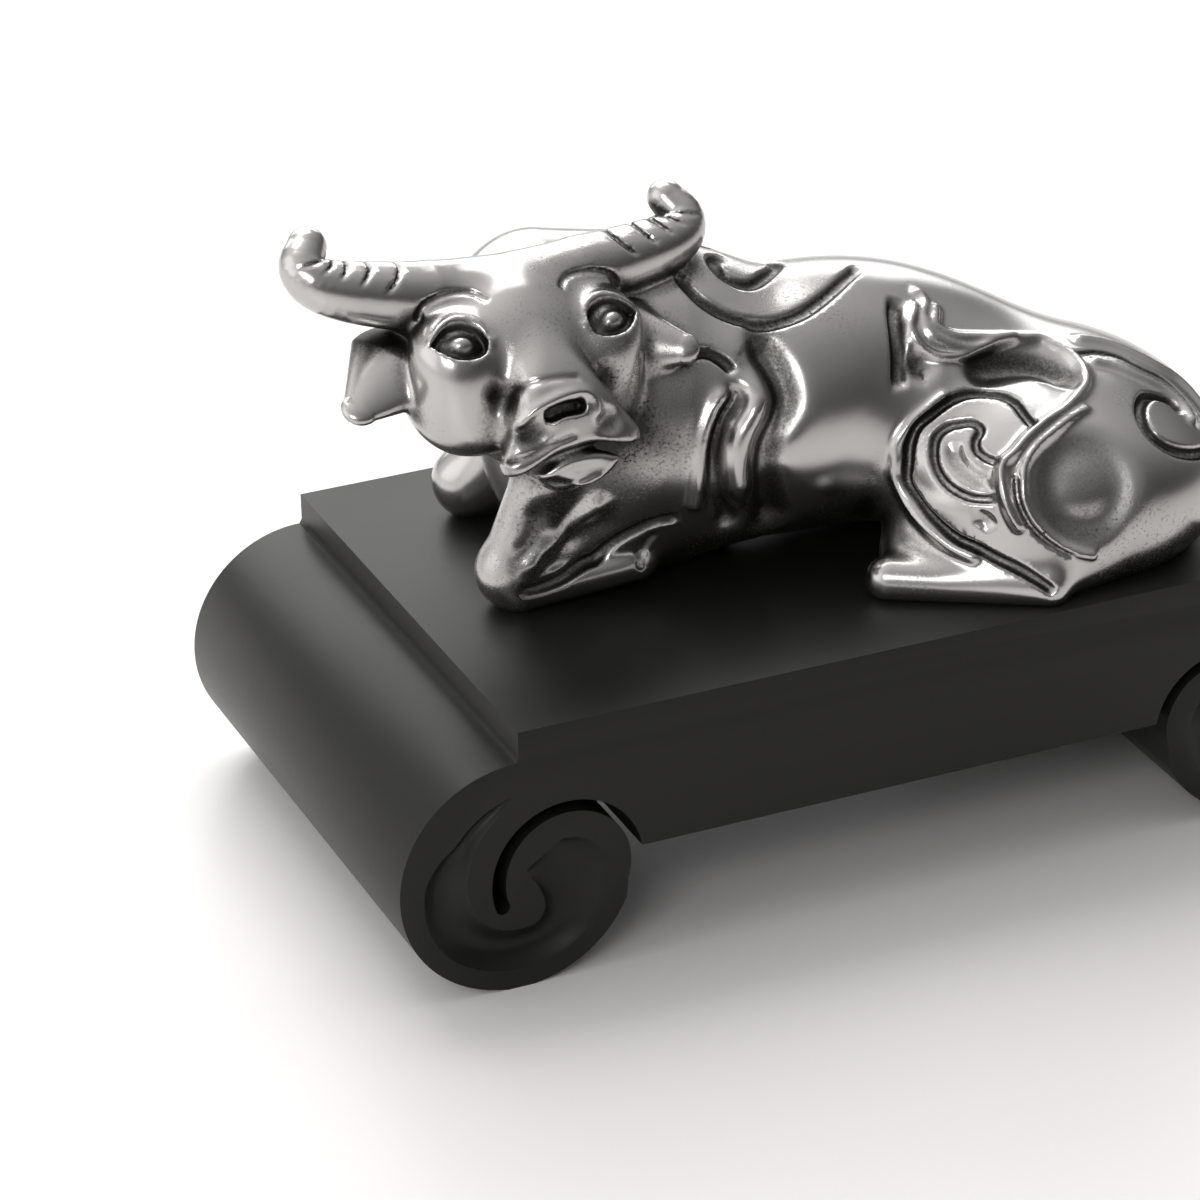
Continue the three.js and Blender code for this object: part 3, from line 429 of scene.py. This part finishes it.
# Relief of the eyes: a hollow that is rounded at its inner end and pointed at its outer one, a
# small ball in it and a lid around the top
def eyeRelief(s):
    a = (s[:, 0] - 11.0) * 0.97 - (s[:, 1] - 1.9) * 0.24
    b = (s[:, 1] - 1.9) * 0.97 + (s[:, 0] - 11.0) * 0.24
    inner = np.sqrt(np.maximum(1 - (a / 3.6) ** 2, 0))
    outer = 1 - (a / 4.2) ** 2
    edge = np.abs(b) - np.where(b < 0, 3.4, 2.6) * np.where(a < 0, inner, outer)
    edge = np.where(a < -3.5, np.maximum(edge, -3.5 - a), edge)
    ball = np.exp(-((a / 1.75) ** 2 + ((b - 0.2) / 1.3) ** 2) ** 1.5)
    lid = np.exp(-((edge - 0.7) / 0.45) ** 2) * ramp(0.8, -0.6, b)
    here = ramp(-5, -3, s[:, 2])
    return here * (1.4 * ramp(0.3, -1.0, edge) - 1.15 * ball - 0.2 * lid)


# Relief of the muzzle in the plate's own axes
slotMiddle = smoothPath([(-1.9, -2.7, 0), (0.2, -3.0, 0), (2.3, -2.8, 0)], 8)
rimLine = smoothPath([(-6.0, -2.6, 0), (-3.6, -4.1, 0), (0.2, -4.9, 0), (3.4, -4.6, 0), (4.8, -3.2, 0),
                      (4.9, -1.2, 0)], 24)
bandLine = smoothPath([(-8.4, 2.2, 0), (-5.6, 1.9, 0), (-2.6, 1.2, 0), (0.5, 0.8, 0)], 14)
wrinkle = smoothPath([(-5.6, -6.4, 0), (-3.0, -7.2, 0), (0.4, -7.0, 0), (3.0, -6.4, 0)], 14)


def muzzleRelief(q):
    u, v, w = toPlate(q)
    flat = np.stack([u, v, np.zeros_like(u)], 1)
    slot = nearPath(flat, slotMiddle)[0]
    rim = nearPath(flat, rimLine)[0]
    band = nearPath(flat, bandLine)[0]
    fold = nearPath(flat, wrinkle)[0]
    leftDip = np.exp(-(((u + 4.5) / 2.1) ** 2 + ((v + 0.7) / 1.9) ** 2) ** 1.5)
    rightDip = np.exp(-(((u - 6.2) / 1.8) ** 2 + ((v - 0.4) / 1.7) ** 2) ** 1.5)
    lipDip = np.exp(-(((u - 0.6) / 4.2) ** 2 + ((v - 6.4) / 1.3) ** 2) ** 2)
    out = 1.8 * ramp(1.15, 0.6, slot) - 0.55 * np.exp(-(rim / 0.7) ** 2)
    out += 0.3 * np.exp(-(band / 0.4) ** 2) + 0.3 * np.exp(-(fold / 0.45) ** 2)
    out += 0.8 * leftDip + 0.7 * rightDip + 0.6 * lipDip
    return out * ramp(-5, -3.5, w)


# Short cuts across the upper side of each horn
def hornRelief(s):
    d, where, total = nearPath(s, hornPath)
    height = s[:, 2] * 0.86 - s[:, 1] * 0.5
    along = np.linspace(0, total, len(hornPath))
    middle = np.interp(where, along, hornPath[:, 2] * 0.86 - hornPath[:, 1] * 0.5)
    fromTip = total - where - 0.8 * (height - middle)
    cuts = sum(np.exp(-((fromTip - at) / 0.3) ** 4) for at in oxShape["notchesFromTip"])
    return 0.45 * cuts * ramp(0.0, 1.2, height - middle) * (d < 6)


# Strokes fade over their last two widths. They fall off as exp(-(d / w)^2), narrow grooves as
# exp(-(d / w)^4), which gives them a flat bottom, d being the distance along the skin
def relief(p, above):
    out = np.zeros(len(p))
    for half, height, path in strokes:
        reach = 2.2 * half + abs(height)
        near = ((p > path.min(0) - reach) & (p < path.max(0) + reach)).all(1)
        if near.any():
            d, where, total = nearPath(p[near], path)
            d = np.sqrt(np.maximum(d * d - above[near] ** 2, 0))
            ends = ramp(0, 2 * half, np.minimum(where, total - where))
            power = 4 if height < 0 and half < 1.3 else 2
            out[near] -= height * np.exp(-(d / half) ** power) * ends
    dish = length(p - dishMiddle) < 16
    out[dish] += dishRelief(p[dish])
    q = toHead(p)
    s = np.stack([np.abs(q[:, 0]), q[:, 1], q[:, 2]], 1)
    eyes = (s[:, 0] > 3) & (s[:, 0] < 19) & (np.abs(s[:, 1]) < 8) & (s[:, 2] > -6)
    out[eyes] += eyeRelief(s[eyes])
    muzzle = (s[:, 0] < 14) & (q[:, 1] > 6) & (q[:, 2] > -14)
    out[muzzle] += muzzleRelief(q[muzzle])
    horns = (s[:, 0] > 12) & (q[:, 1] < -4) & (q[:, 2] > -3)
    out[horns] += hornRelief(hornPoint(q[horns]))
    return out


def ox(p):
    f = plainOx(p)
    near = np.abs(f) < 4
    f[near] += relief(p[near], f[near])
    return np.maximum(f, -p[:, 2])


# Grid lines whose spacing follows a list of (place, spacing), straight between the entries
def gridLines(low, high, spacing):
    x = np.linspace(low, high, 4000)
    places, cells = np.array(spacing, float).T
    count = np.concatenate([[0], np.cumsum(np.diff(x) / np.interp(x[1:], places, cells))])
    steps = 8 * math.ceil(count[-1] / 8)
    return np.interp(np.linspace(0, count[-1], steps + 1), count, x)


# Values of a field on a grid: worked out on every eighth line, then finer near the surface only
def sampled(field, lines, reach):
    stride = 8
    values = None
    while stride >= 1:
        axes = [line[::stride] for line in lines]
        if values is None:
            grid = np.stack(np.meshgrid(*axes, indexing="ij"), -1)
            values = atAll(field, grid.reshape(-1, 3)).reshape(grid.shape[:3])
        else:
            for axis in range(3):
                middle = 0.5 * (np.take(values, range(1, values.shape[axis]), axis)
                                + np.take(values, range(values.shape[axis] - 1), axis))
                shape = list(values.shape)
                shape[axis] = 2 * shape[axis] - 1
                finer = np.empty(shape)
                even = [slice(None)] * 3
                odd = [slice(None)] * 3
                even[axis], odd[axis] = slice(0, None, 2), slice(1, None, 2)
                finer[tuple(even)], finer[tuple(odd)] = values, middle
                values = finer
            close = np.abs(values) < reach * stride + 0.8
            at = np.argwhere(close)
            p = np.stack([axes[k][at[:, k]] for k in range(3)], 1)
            values[close] = atAll(field, p)
        stride //= 2
    return values


# One corner in each cell that the surface crosses, at the mean of its edge crossings, and a
# four-sided face across each grid edge that changes sign
def surfaceNet(values, lines):
    inside = values < 0
    cellShape = tuple(n - 1 for n in values.shape)
    corner = np.zeros(cellShape, np.int8)
    for i in (0, 1):
        for j in (0, 1):
            for k in (0, 1):
                corner += inside[i:cellShape[0] + i, j:cellShape[1] + j, k:cellShape[2] + k]
    crossed = (corner > 0) & (corner < 8)
    cells = np.argwhere(crossed)
    index = np.full(cellShape, -1, np.int64)
    index[crossed] = np.arange(len(cells))
    total, number = np.zeros((len(cells), 3)), np.zeros(len(cells))
    for axis in range(3):
        others = [n for n in range(3) if n != axis]
        for u in (0, 1):
            for v in (0, 1):
                a = cells.copy()
                a[:, others[0]] += u
                a[:, others[1]] += v
                b = a.copy()
                b[:, axis] += 1
                fa, fb = values[tuple(a.T)], values[tuple(b.T)]
                change = (fa < 0) != (fb < 0)
                t = fa[change] / (fa[change] - fb[change])
                pa = np.stack([lines[n][a[change, n]] for n in range(3)], 1)
                pb = np.stack([lines[n][b[change, n]] for n in range(3)], 1)
                total[change] += pa + (pb - pa) * t[:, None]
                number[change] += 1
    faces = []
    for axis in range(3):
        first, second = [slice(None)] * 3, [slice(None)] * 3
        first[axis], second[axis] = slice(0, -1), slice(1, None)
        here = inside[tuple(first)]
        edges = np.argwhere(here != inside[tuple(second)])
        u, v = np.zeros(3, int), np.zeros(3, int)
        u[(axis + 1) % 3] = 1
        v[(axis + 2) % 3] = 1
        quad = np.stack([index[tuple((edges - d).T)] for d in (u * 0, u, u + v, v)], 1)
        outward = here[tuple(edges.T)]
        quad[~outward] = quad[~outward][:, ::-1]
        faces.append(quad)
    return total / number[:, None], np.vstack(faces)


# Share of the room above a point that is taken up: 1 less the field a step out over the step
def sunk(field, p, normal, steps):
    share = [np.clip(atAll(field, p + normal * step) / step, 0, 1) for step in steps]
    return 1 - np.mean(share, 0)


def meshObject(name, points, faces, smooth=True):
    mesh = bpy.data.meshes.new(name)
    mesh.from_pydata(points, [], faces)
    mesh.update()
    mesh.polygons.foreach_set("use_smooth", np.full(len(mesh.polygons), smooth))
    made = bpy.data.objects.new(name, mesh)
    scene.collection.objects.link(made)
    return made


def floatAttribute(made, name, values):
    layer = made.data.attributes.new(name, "FLOAT", "POINT")
    layer.data.foreach_set("value", values.astype(np.float32))


def applyModifiers(made):
    shown = made.evaluated_get(bpy.context.evaluated_depsgraph_get())
    mesh = bpy.data.meshes.new_from_object(shown)
    made.modifiers.clear()
    made.data = mesh


# Corners and triangles left when the flattest places are thinned out to the given number
def thinned(points, faces, most):
    made = meshObject("thinned", points, faces)
    made.modifiers.new("halves", "TRIANGULATE")
    thinner = made.modifiers.new("thinner", "DECIMATE")
    thinner.ratio = min(1.0, most / (2 * len(faces)))
    thinner.use_collapse_triangulate = True
    applyModifiers(made)
    mesh = made.data
    corners = np.empty(3 * len(mesh.vertices))
    triangles = np.empty(3 * len(mesh.polygons), np.int32)
    mesh.vertices.foreach_get("co", corners)
    mesh.loops.foreach_get("vertex_index", triangles)
    bpy.data.objects.remove(made)
    return corners.reshape(-1, 3), triangles.reshape(-1, 3)


# More darkening on the flat of the muzzle (patina) and on the chest under the head (painted shade with
# some patina), less on the lower lip and in the dish
def shadeAndPatinaShift(p):
    u, v, w = toPlate(toHead(p))
    plate = ramp(12, 9.5, np.abs(u - 0.9)) * ramp(-6.5, -4.5, v) * ramp(5.2, 4.0, v)
    plate *= ramp(-2.2, -1.0, w)
    lip = ramp(8, 6, np.abs(u - 2)) * ramp(4.6, 5.6, v) * ramp(10, 8.5, v) * ramp(-4, -2.5, w)
    dish = np.exp(-(length((p - dishMiddle) @ dishAxes / dishRadii) / 0.75) ** 4)
    # Painted shade, partly patina, on the chest below the head
    chest = np.exp(-length((p - (-25, -12, 22)) / (10, 9, 12)) ** 4)
    return 0.18 * plate + 0.28 * chest - 0.35 * lip - 0.15 * dish


def makeOx(lines, most):
    values = sampled(ox, lines, 0.6)
    points, faces = surfaceNet(values, lines)
    print("ox skin:", 2 * len(faces), "triangles before thinning")
    points, faces = thinned(settle(ox, points, 2, 0.3, 0.15), faces, most)
    points = settle(ox, points, 1, 0.2, 0.15)
    points[:, 2] = np.maximum(points[:, 2], 0)
    normal = slopeOf(ox, points, 0.15)
    normal /= length(normal)[:, None] + 1e-9
    # Darkening stored on the skin: real patina in grooves and small hollows (cut-in depth and the 0.8 to
    # 4.5 mm occlusion steps), plus painted shade from the 9 and 16 mm steps, which darken the chest
    # under the head and the underside of the belly
    cutIn = np.minimum(relief(points, plainOx(points)), 0.9)
    sheltered = sunk(ox, points, normal, (0.8, 2.0, 4.5, 9.0, 16.0))
    patinaAndShade = np.clip(1.3 * sheltered + 0.5 * cutIn + shadeAndPatinaShift(points), 0, 1)
    inMetres = points * millimetre + np.array([0, 0, standTop])
    made = meshObject("ox_casting", inMetres, faces)
    floatAttribute(made, "patinaAndShade", patinaAndShade)
    print("ox:", len(points), "corners,", len(faces), "triangles")
    return made


fine, middling, coarse = oxShape["cells"]
alongStand = [(-78, fine), (-25, fine), (-15, middling), (4, middling), (9, fine), (57, fine),
              (68, middling)]
acrossStand = [(-45, fine), (0, fine), (12, coarse), (36, coarse)]
upwards = [(-3, fine), (62, fine)]
oxCasting = makeOx([gridLines(-78, 68, alongStand), gridLines(-45, 36, acrossStand),
                    gridLines(-3, 62, upwards)], oxShape["most"])
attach(oxCasting, "root")
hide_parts("ox")


# The stand: a slab whose ends step down and roll into scrolls
standShape = {
    "slabLength": 115.0,
    "width": 80.8,
    "height": 39.0,
    "stepDepth": 3.9,
    "scroll": ((-0.35, -21.8), 17.2),                # centre from the slab's top left corner, radius
    "footFlat": 4.0,
    "curl": ((6.9, -22.9), 9.2),                     # inner roll
    "slot": ((6.8, -23.1), 11.1),                    # outer wall of the slot round it
    "slotEnd": ((-2.8, -26.1), 1.03),
    "coveDepth": 1.9,
    "edgeRound": 0.35,
    "arcStep": 2.5,                                  # degrees
    "roundAbove": 32,                                # edges turning by more are rounded
    "sharpAbove": 35,                                # and these stay sharp in the shading
}


# Points of an arc from one angle to another, in degrees
def arc(circle, fromAngle, toAngle):
    (x, z), radius = circle
    count = max(4, math.ceil(abs(toAngle - fromAngle) / standShape["arcStep"]))
    a = np.radians(np.linspace(fromAngle, toAngle, count + 1))
    return np.stack([x + radius * np.cos(a), z + radius * np.sin(a)], 1)


# Outline of the left half, from the slab's top round the scroll and the slot to its underside
def halfOutline():
    shape = standShape
    (x, z), radius = shape["scroll"]
    foot = [(x - shape["footFlat"] / 2, -shape["height"]), (x + shape["footFlat"] / 2, -shape["height"])]
    return np.vstack([
        [(0, 0), (0, -shape["stepDepth"])], arc(shape["scroll"], 90, 258), foot,
        arc(shape["scroll"], 282, 336), arc(shape["curl"], -18, 198),
        arc(shape["slotEnd"], 21, -158), arc(shape["slot"], 198, 9)])


# Hollow of a scroll's end face: angle about the scroll's centre, then its outer and inner radius
coveEdges = [
    (94, 12.3, 12.0), (105, 11.9, 10.3), (122, 11.5, 9.1), (143, 11.3, 8.2), (159, 12.5, 7.6),
    (174, 13.5, 7.5), (189, 13.9, 7.5), (205, 14.3, 7.6), (225, 14.5, 7.9), (245, 14.4, 8.1),
    (268, 14.3, 8.1), (290, 14.3, 7.9), (306, 14.4, 6.2), (322, 14.2, 3.4), (340, 13.6, 1.7),
    (355, 13.0, 1.5), (370, 11.7, 1.4), (383, 9.8, 1.3), (394, 7.6, 1.3)]


# A trough along the crescent: its depth runs as the sine of the share of the way across
def coveCutter():
    across, outside = 14, 1.0
    edges = smoothPath(coveEdges, 90)
    angle = np.radians(edges[:, 0])[:, None]
    outer, inner = edges[:, 1][:, None], edges[:, 2][:, None]
    t = np.linspace(0, 1, across + 1)[None]
    radius = np.hstack([outer, outer + (inner - outer) * t, inner])
    deepest = np.minimum(standShape["coveDepth"], 0.45 * (outer - inner))
    inward = np.hstack([outer * 0 - outside, deepest * np.sin(np.pi * t), outer * 0 - outside])
    (x, z), _ = standShape["scroll"]
    points = np.stack([x + radius * np.cos(angle), inward, z + radius * np.sin(angle)], -1)
    rings, around = points.shape[:2]
    a = np.arange(around)
    rows = np.arange(rings - 1)[:, None] * around
    nextAround = (a + 1) % around
    quads = np.stack([rows + a, rows + nextAround, rows + around + nextAround, rows + around + a], -1)
    ends = [list(range(around))[::-1], list(range((rings - 1) * around, rings * around))]
    return points.reshape(-1, 3), quads.reshape(-1, 4).tolist() + ends


def makeStand():
    shape = standShape
    left = halfOutline() + np.array([-shape["slabLength"] / 2, shape["height"]])
    outline = np.vstack([left, (left * [-1, 1])[::-1]])
    n = len(outline)
    front, back = -shape["width"] / 2, shape["width"] / 2
    points = np.array([(x, y, z) for y in (front, back) for x, z in outline])
    sides = [(i, n + i, n + (i + 1) % n, (i + 1) % n) for i in range(n)]
    ends = [list(range(n)), list(range(n, 2 * n))[::-1]]
    stand = meshObject("scroll_stand", points * millimetre, ends + sides)
    cutter, cutterFaces = coveCutter()
    for sideX in (-1, 1):
        for sideY in (-1, 1):
            placed = np.stack([sideX * (shape["slabLength"] / 2 - cutter[:, 0]),
                               sideY * (shape["width"] / 2 - cutter[:, 1]),
                               shape["height"] + cutter[:, 2]], 1)
            tool = meshObject("cove_tool", placed * millimetre, cutterFaces)
            faceOutward(tool)
            cut = stand.modifiers.new("cove", "BOOLEAN")
            cut.operation, cut.solver, cut.object = "DIFFERENCE", "EXACT", tool
            applyModifiers(stand)
            bpy.data.objects.remove(tool)
    return stand


def faceOutward(made):
    b = bmesh.new()
    b.from_mesh(made.data)
    bmesh.ops.recalc_face_normals(b, faces=b.faces)
    b.to_mesh(made.data)
    b.free()


scrollStand = makeStand()
faceOutward(scrollStand)
rounding = scrollStand.modifiers.new("edges", "BEVEL")
rounding.width = standShape["edgeRound"] * millimetre
rounding.segments = 3
rounding.limit_method = "ANGLE"
rounding.angle_limit = math.radians(standShape["roundAbove"])
applyModifiers(scrollStand)
scrollStand.data.polygons.foreach_set("use_smooth", np.full(len(scrollStand.data.polygons), True))
scrollStand.data.set_sharp_from_angle(angle=math.radians(standShape["sharpAbove"]))
print("stand:", len(scrollStand.data.polygons), "faces")
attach(scrollStand, "root")
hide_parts("stand")


# Shader kit: a value wraps a socket, and arithmetic on values adds Math nodes
class Value:
    def __init__(self, tree, socket):
        self.tree = tree
        self.socket = socket

    def math(self, operation, other=None, swapped=False):
        inputs = [self] if other is None else [other, self] if swapped else [self, other]
        return self.tree.node("ShaderNodeMath", {"operation": operation}, inputs)

    def __add__(self, other):
        return self.math("ADD", other)

    def __radd__(self, other):
        return self.math("ADD", other)

    def __sub__(self, other):
        return self.math("SUBTRACT", other)

    def __rsub__(self, other):
        return self.math("SUBTRACT", other, True)

    def __mul__(self, other):
        return self.math("MULTIPLY", other)

    def __rmul__(self, other):
        return self.math("MULTIPLY", other)

    def clamped(self):
        return self.tree.node("ShaderNodeClamp", {}, [self, 0.0, 1.0])

    def between(self, low, high):
        settings = {"interpolation_type": "SMOOTHSTEP"}
        return self.tree.node("ShaderNodeMapRange", settings, [self, low, high, 0.0, 1.0])


class Nodes:
    def __init__(self, tree):
        self.tree = tree

    def feed(self, socket, value):
        if isinstance(value, Value):
            self.tree.links.new(value.socket, socket)
        elif isinstance(value, (tuple, list)) and len(value) == 3 and socket.type == "RGBA":
            socket.default_value = (*value, 1.0)
        else:
            socket.default_value = value

    # Any node: its type, its settings, its inputs in order or by name, and the output to give
    def node(self, kind, settings, inputs, output=0):
        made = self.tree.nodes.new(kind)
        for key, value in settings.items():
            setattr(made, key, value)
        pairs = inputs.items() if isinstance(inputs, dict) else enumerate(inputs)
        for key, value in pairs:
            self.feed(made.inputs[key], value)
        return Value(self, made.outputs[output])


class Finish(Nodes):
    def __init__(self, name):
        self.material = bpy.data.materials.new(name)
        self.material.use_nodes = True
        super().__init__(self.material.node_tree)
        self.shader = next(n for n in self.tree.nodes if n.type == "BSDF_PRINCIPLED")

    def place(self):
        return self.node("ShaderNodeTexCoord", {}, [], "Object")

    def attribute(self, name):
        return self.node("ShaderNodeAttribute", {"attribute_name": name}, [], "Fac")

    def noise(self, scale, detail=2.0, roughness=0.5):
        inputs = {"Vector": self.place(), "Scale": scale, "Detail": detail, "Roughness": roughness}
        return self.node("ShaderNodeTexNoise", {}, inputs)

    def colourMix(self, share, first, second):
        inputs = {0: share, 6: first, 7: second}
        return self.node("ShaderNodeMix", {"data_type": "RGBA"}, inputs, 2)

    def bump(self, height, strength, distance):
        inputs = {"Height": height, "Strength": strength, "Distance": distance}
        return self.node("ShaderNodeBump", {}, inputs)

    def set(self, **values):
        for key, value in values.items():
            self.feed(self.shader.inputs[key.replace("_", " ")], value)


pewterFinish = {
    "polished": (0.56, 0.55, 0.535),
    "worn": (0.37, 0.36, 0.345),
    "darkened": (0.05, 0.048, 0.043),
    "roughness": 0.2,
    "cloudScale": 45.0,                              # per metre
    "speckScale": 2200.0,
    "grainScale": 3200.0,
}


# Polished metal with a dark film of patina in its hollows and painted shade where the wide occlusion
# steps darken the chest under the head and the belly, and fine pits in cloudy patches. The darkening is
# the smooth step of 1.7 times the stored patina-and-shade value less 0.24, with speck and grain noise
# added
def pewter():
    look = pewterFinish
    m = Finish("antiqued_pewter")
    patinaAndShade = m.attribute("patinaAndShade")
    cloud = m.noise(look["cloudScale"], 3.0)
    speck = m.noise(look["speckScale"], 2.0, 0.6)
    grain = m.noise(look["grainScale"], 3.0, 0.7)
    mottling = (speck - 0.5) * 0.4 + (grain - 0.5) * 0.5
    darkFilmAndShade = ((patinaAndShade - 0.24) * 1.7 + mottling).between(0.0, 1.0)
    patch = cloud.between(0.5, 0.66)
    pits = speck.between(0.56, 0.66) * patch
    colour = m.colourMix(cloud.between(0.35, 0.7) * 0.35, look["polished"], look["worn"])
    # Mixes towards the darkened colour where there is patina and where shade is painted in
    colour = m.colourMix((darkFilmAndShade + pits * 0.3).clamped(), colour, look["darkened"])
    roughness = look["roughness"] + darkFilmAndShade * 0.2 + pits * 0.12 + cloud * 0.06
    m.set(Base_Color=colour, Metallic=1.0, Roughness=roughness,
          Normal=m.bump(grain * 0.35 - pits * 0.8, 0.12, 0.0002))
    return m.material


lacquerFinish = {
    "colour": (0.007, 0.0072, 0.006),
    "roughness": 0.4,
    "specular": 0.3,
    "rippleScale": 900.0,
    "cloudScale": 30.0,
}


# Satin black lacquer: cloud noise lightens the colour by up to a quarter and shifts the roughness,
# and a fine ripple noise bumps it
def lacquer():
    look = lacquerFinish
    m = Finish("satin_black_lacquer")
    ripple = m.noise(look["rippleScale"], 2.0)
    cloud = m.noise(look["cloudScale"], 3.0)
    colour = m.colourMix(cloud, look["colour"], tuple(1.25 * c for c in look["colour"]))
    m.set(Base_Color=colour, Roughness=look["roughness"] + (cloud - 0.5) * 0.08,
          Specular_IOR_Level=look["specular"],
          Normal=m.bump(ripple, 0.05, 0.0002))
    return m.material


def dress(made, material):
    made.data.materials.clear()
    made.data.materials.append(material)


dress(oxCasting, pewter())
dress(scrollStand, lacquer())
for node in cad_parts.values():      # the hidden solids
    dress(node, scrollStand.data.materials[0])
print("finishes set")


# Pale floor, soft lights and the camera
stageLook = {
    "floorColour": (0.87, 0.855, 0.85),
    "floorRoughness": 0.35,
    "floorHalf": 3.0,
    "roomColour": (1.0, 0.985, 0.98),
    "roomRadiance": (0.33, 1.0),                     # at the horizon and overhead
    "leftRadiance": 0.7,                             # added at the horizon on the left
    "darkerRight": 0.55,
    "darkerFront": 0.6,
}


def makeFloor():
    half = stageLook["floorHalf"]
    corners = [(-half, -half, 0), (half, -half, 0), (half, half, 0), (-half, half, 0)]
    floor = meshObject("floor", corners, [(0, 1, 2, 3)])
    m = Finish("pale_floor")
    m.set(Base_Color=stageLook["floorColour"], Roughness=stageLook["floorRoughness"])
    dress(floor, m.material)


# A soft light at a place, facing a point: size and power, in metres and watts
def softLight(name, place, target, size, power):
    data = bpy.data.lights.new(name, "AREA")
    data.shape, data.size, data.size_y = "RECTANGLE", size[0], size[1]
    data.energy = power
    light = bpy.data.objects.new(name, data)
    light.location = place
    light.rotation_euler = (Vector(target) - Vector(place)).to_track_quat("-Z", "Y").to_euler()
    scene.collection.objects.link(light)


# The room is bright overhead and to the left, greyer towards the horizon and in front
def makeRoom():
    world = bpy.data.worlds.new("soft_room")
    world.use_nodes = True
    m = Nodes(world.node_tree)
    direction = m.node("ShaderNodeTexCoord", {}, [], "Generated")
    height = m.node("ShaderNodeSeparateXYZ", {}, [direction], 2)
    background = world.node_tree.nodes["Background"]
    m.feed(background.inputs[0], stageLook["roomColour"])
    low, high = stageLook["roomRadiance"]
    side = m.node("ShaderNodeSeparateXYZ", {}, [direction], 0)
    depth = m.node("ShaderNodeSeparateXYZ", {}, [direction], 1)
    upwards = height.between(0.1, 0.8)
    radiance = (low + (high - low) * upwards) * (1 - side.between(-0.3, 0.9) * stageLook["darkerRight"])
    fromLeft = (1 - side.between(-0.95, -0.2)) * (1 - upwards)
    towardsBack = 1 - (1 - depth.between(-0.75, 0.15)) * stageLook["darkerFront"]
    m.feed(background.inputs[1], radiance * towardsBack + fromLeft * stageLook["leftRadiance"])
    scene.world = world


def makeLights():
    middle = (0, 0, 0.04)
    softLight("overhead", (0.0, 0.55, 1.0), middle, (0.9, 0.6), 5.0)
    softLight("behind", (0.25, 1.0, 0.5), middle, (1.4, 0.6), 5.5)
    softLight("left", (-1.0, 0.1, 0.5), middle, (1.0, 0.8), 1.2)
    softLight("front", (-0.62, -0.72, 0.62), middle, (0.4, 0.3), 2.4)


cameraPlace = {
    "place": (-0.27786, -0.57835, 0.35289),
    "yaw": 23.377,                                   # degrees from +Y towards +X
    "down": 26.867,
    "roll": -1.0526,
    "lens": 150.0,
    "sensor": 36.0,
}


def makeCamera():
    data = bpy.data.cameras.new("camera")
    data.lens, data.sensor_width = cameraPlace["lens"], cameraPlace["sensor"]
    data.clip_start, data.clip_end = 0.01, 20
    camera = bpy.data.objects.new("camera", data)
    yaw, down, roll = (math.radians(cameraPlace[k]) for k in ("yaw", "down", "roll"))
    camera.matrix_world = (Matrix.Translation(cameraPlace["place"]) @ Matrix.Rotation(-yaw, 4, "Z")
                           @ Matrix.Rotation(math.pi / 2 - down, 4, "X") @ Matrix.Rotation(roll, 4, "Z"))
    scene.collection.objects.link(camera)
    scene.camera = camera


makeFloor()
makeRoom()
makeLights()
makeCamera()
scene.view_settings.view_transform = "Standard"
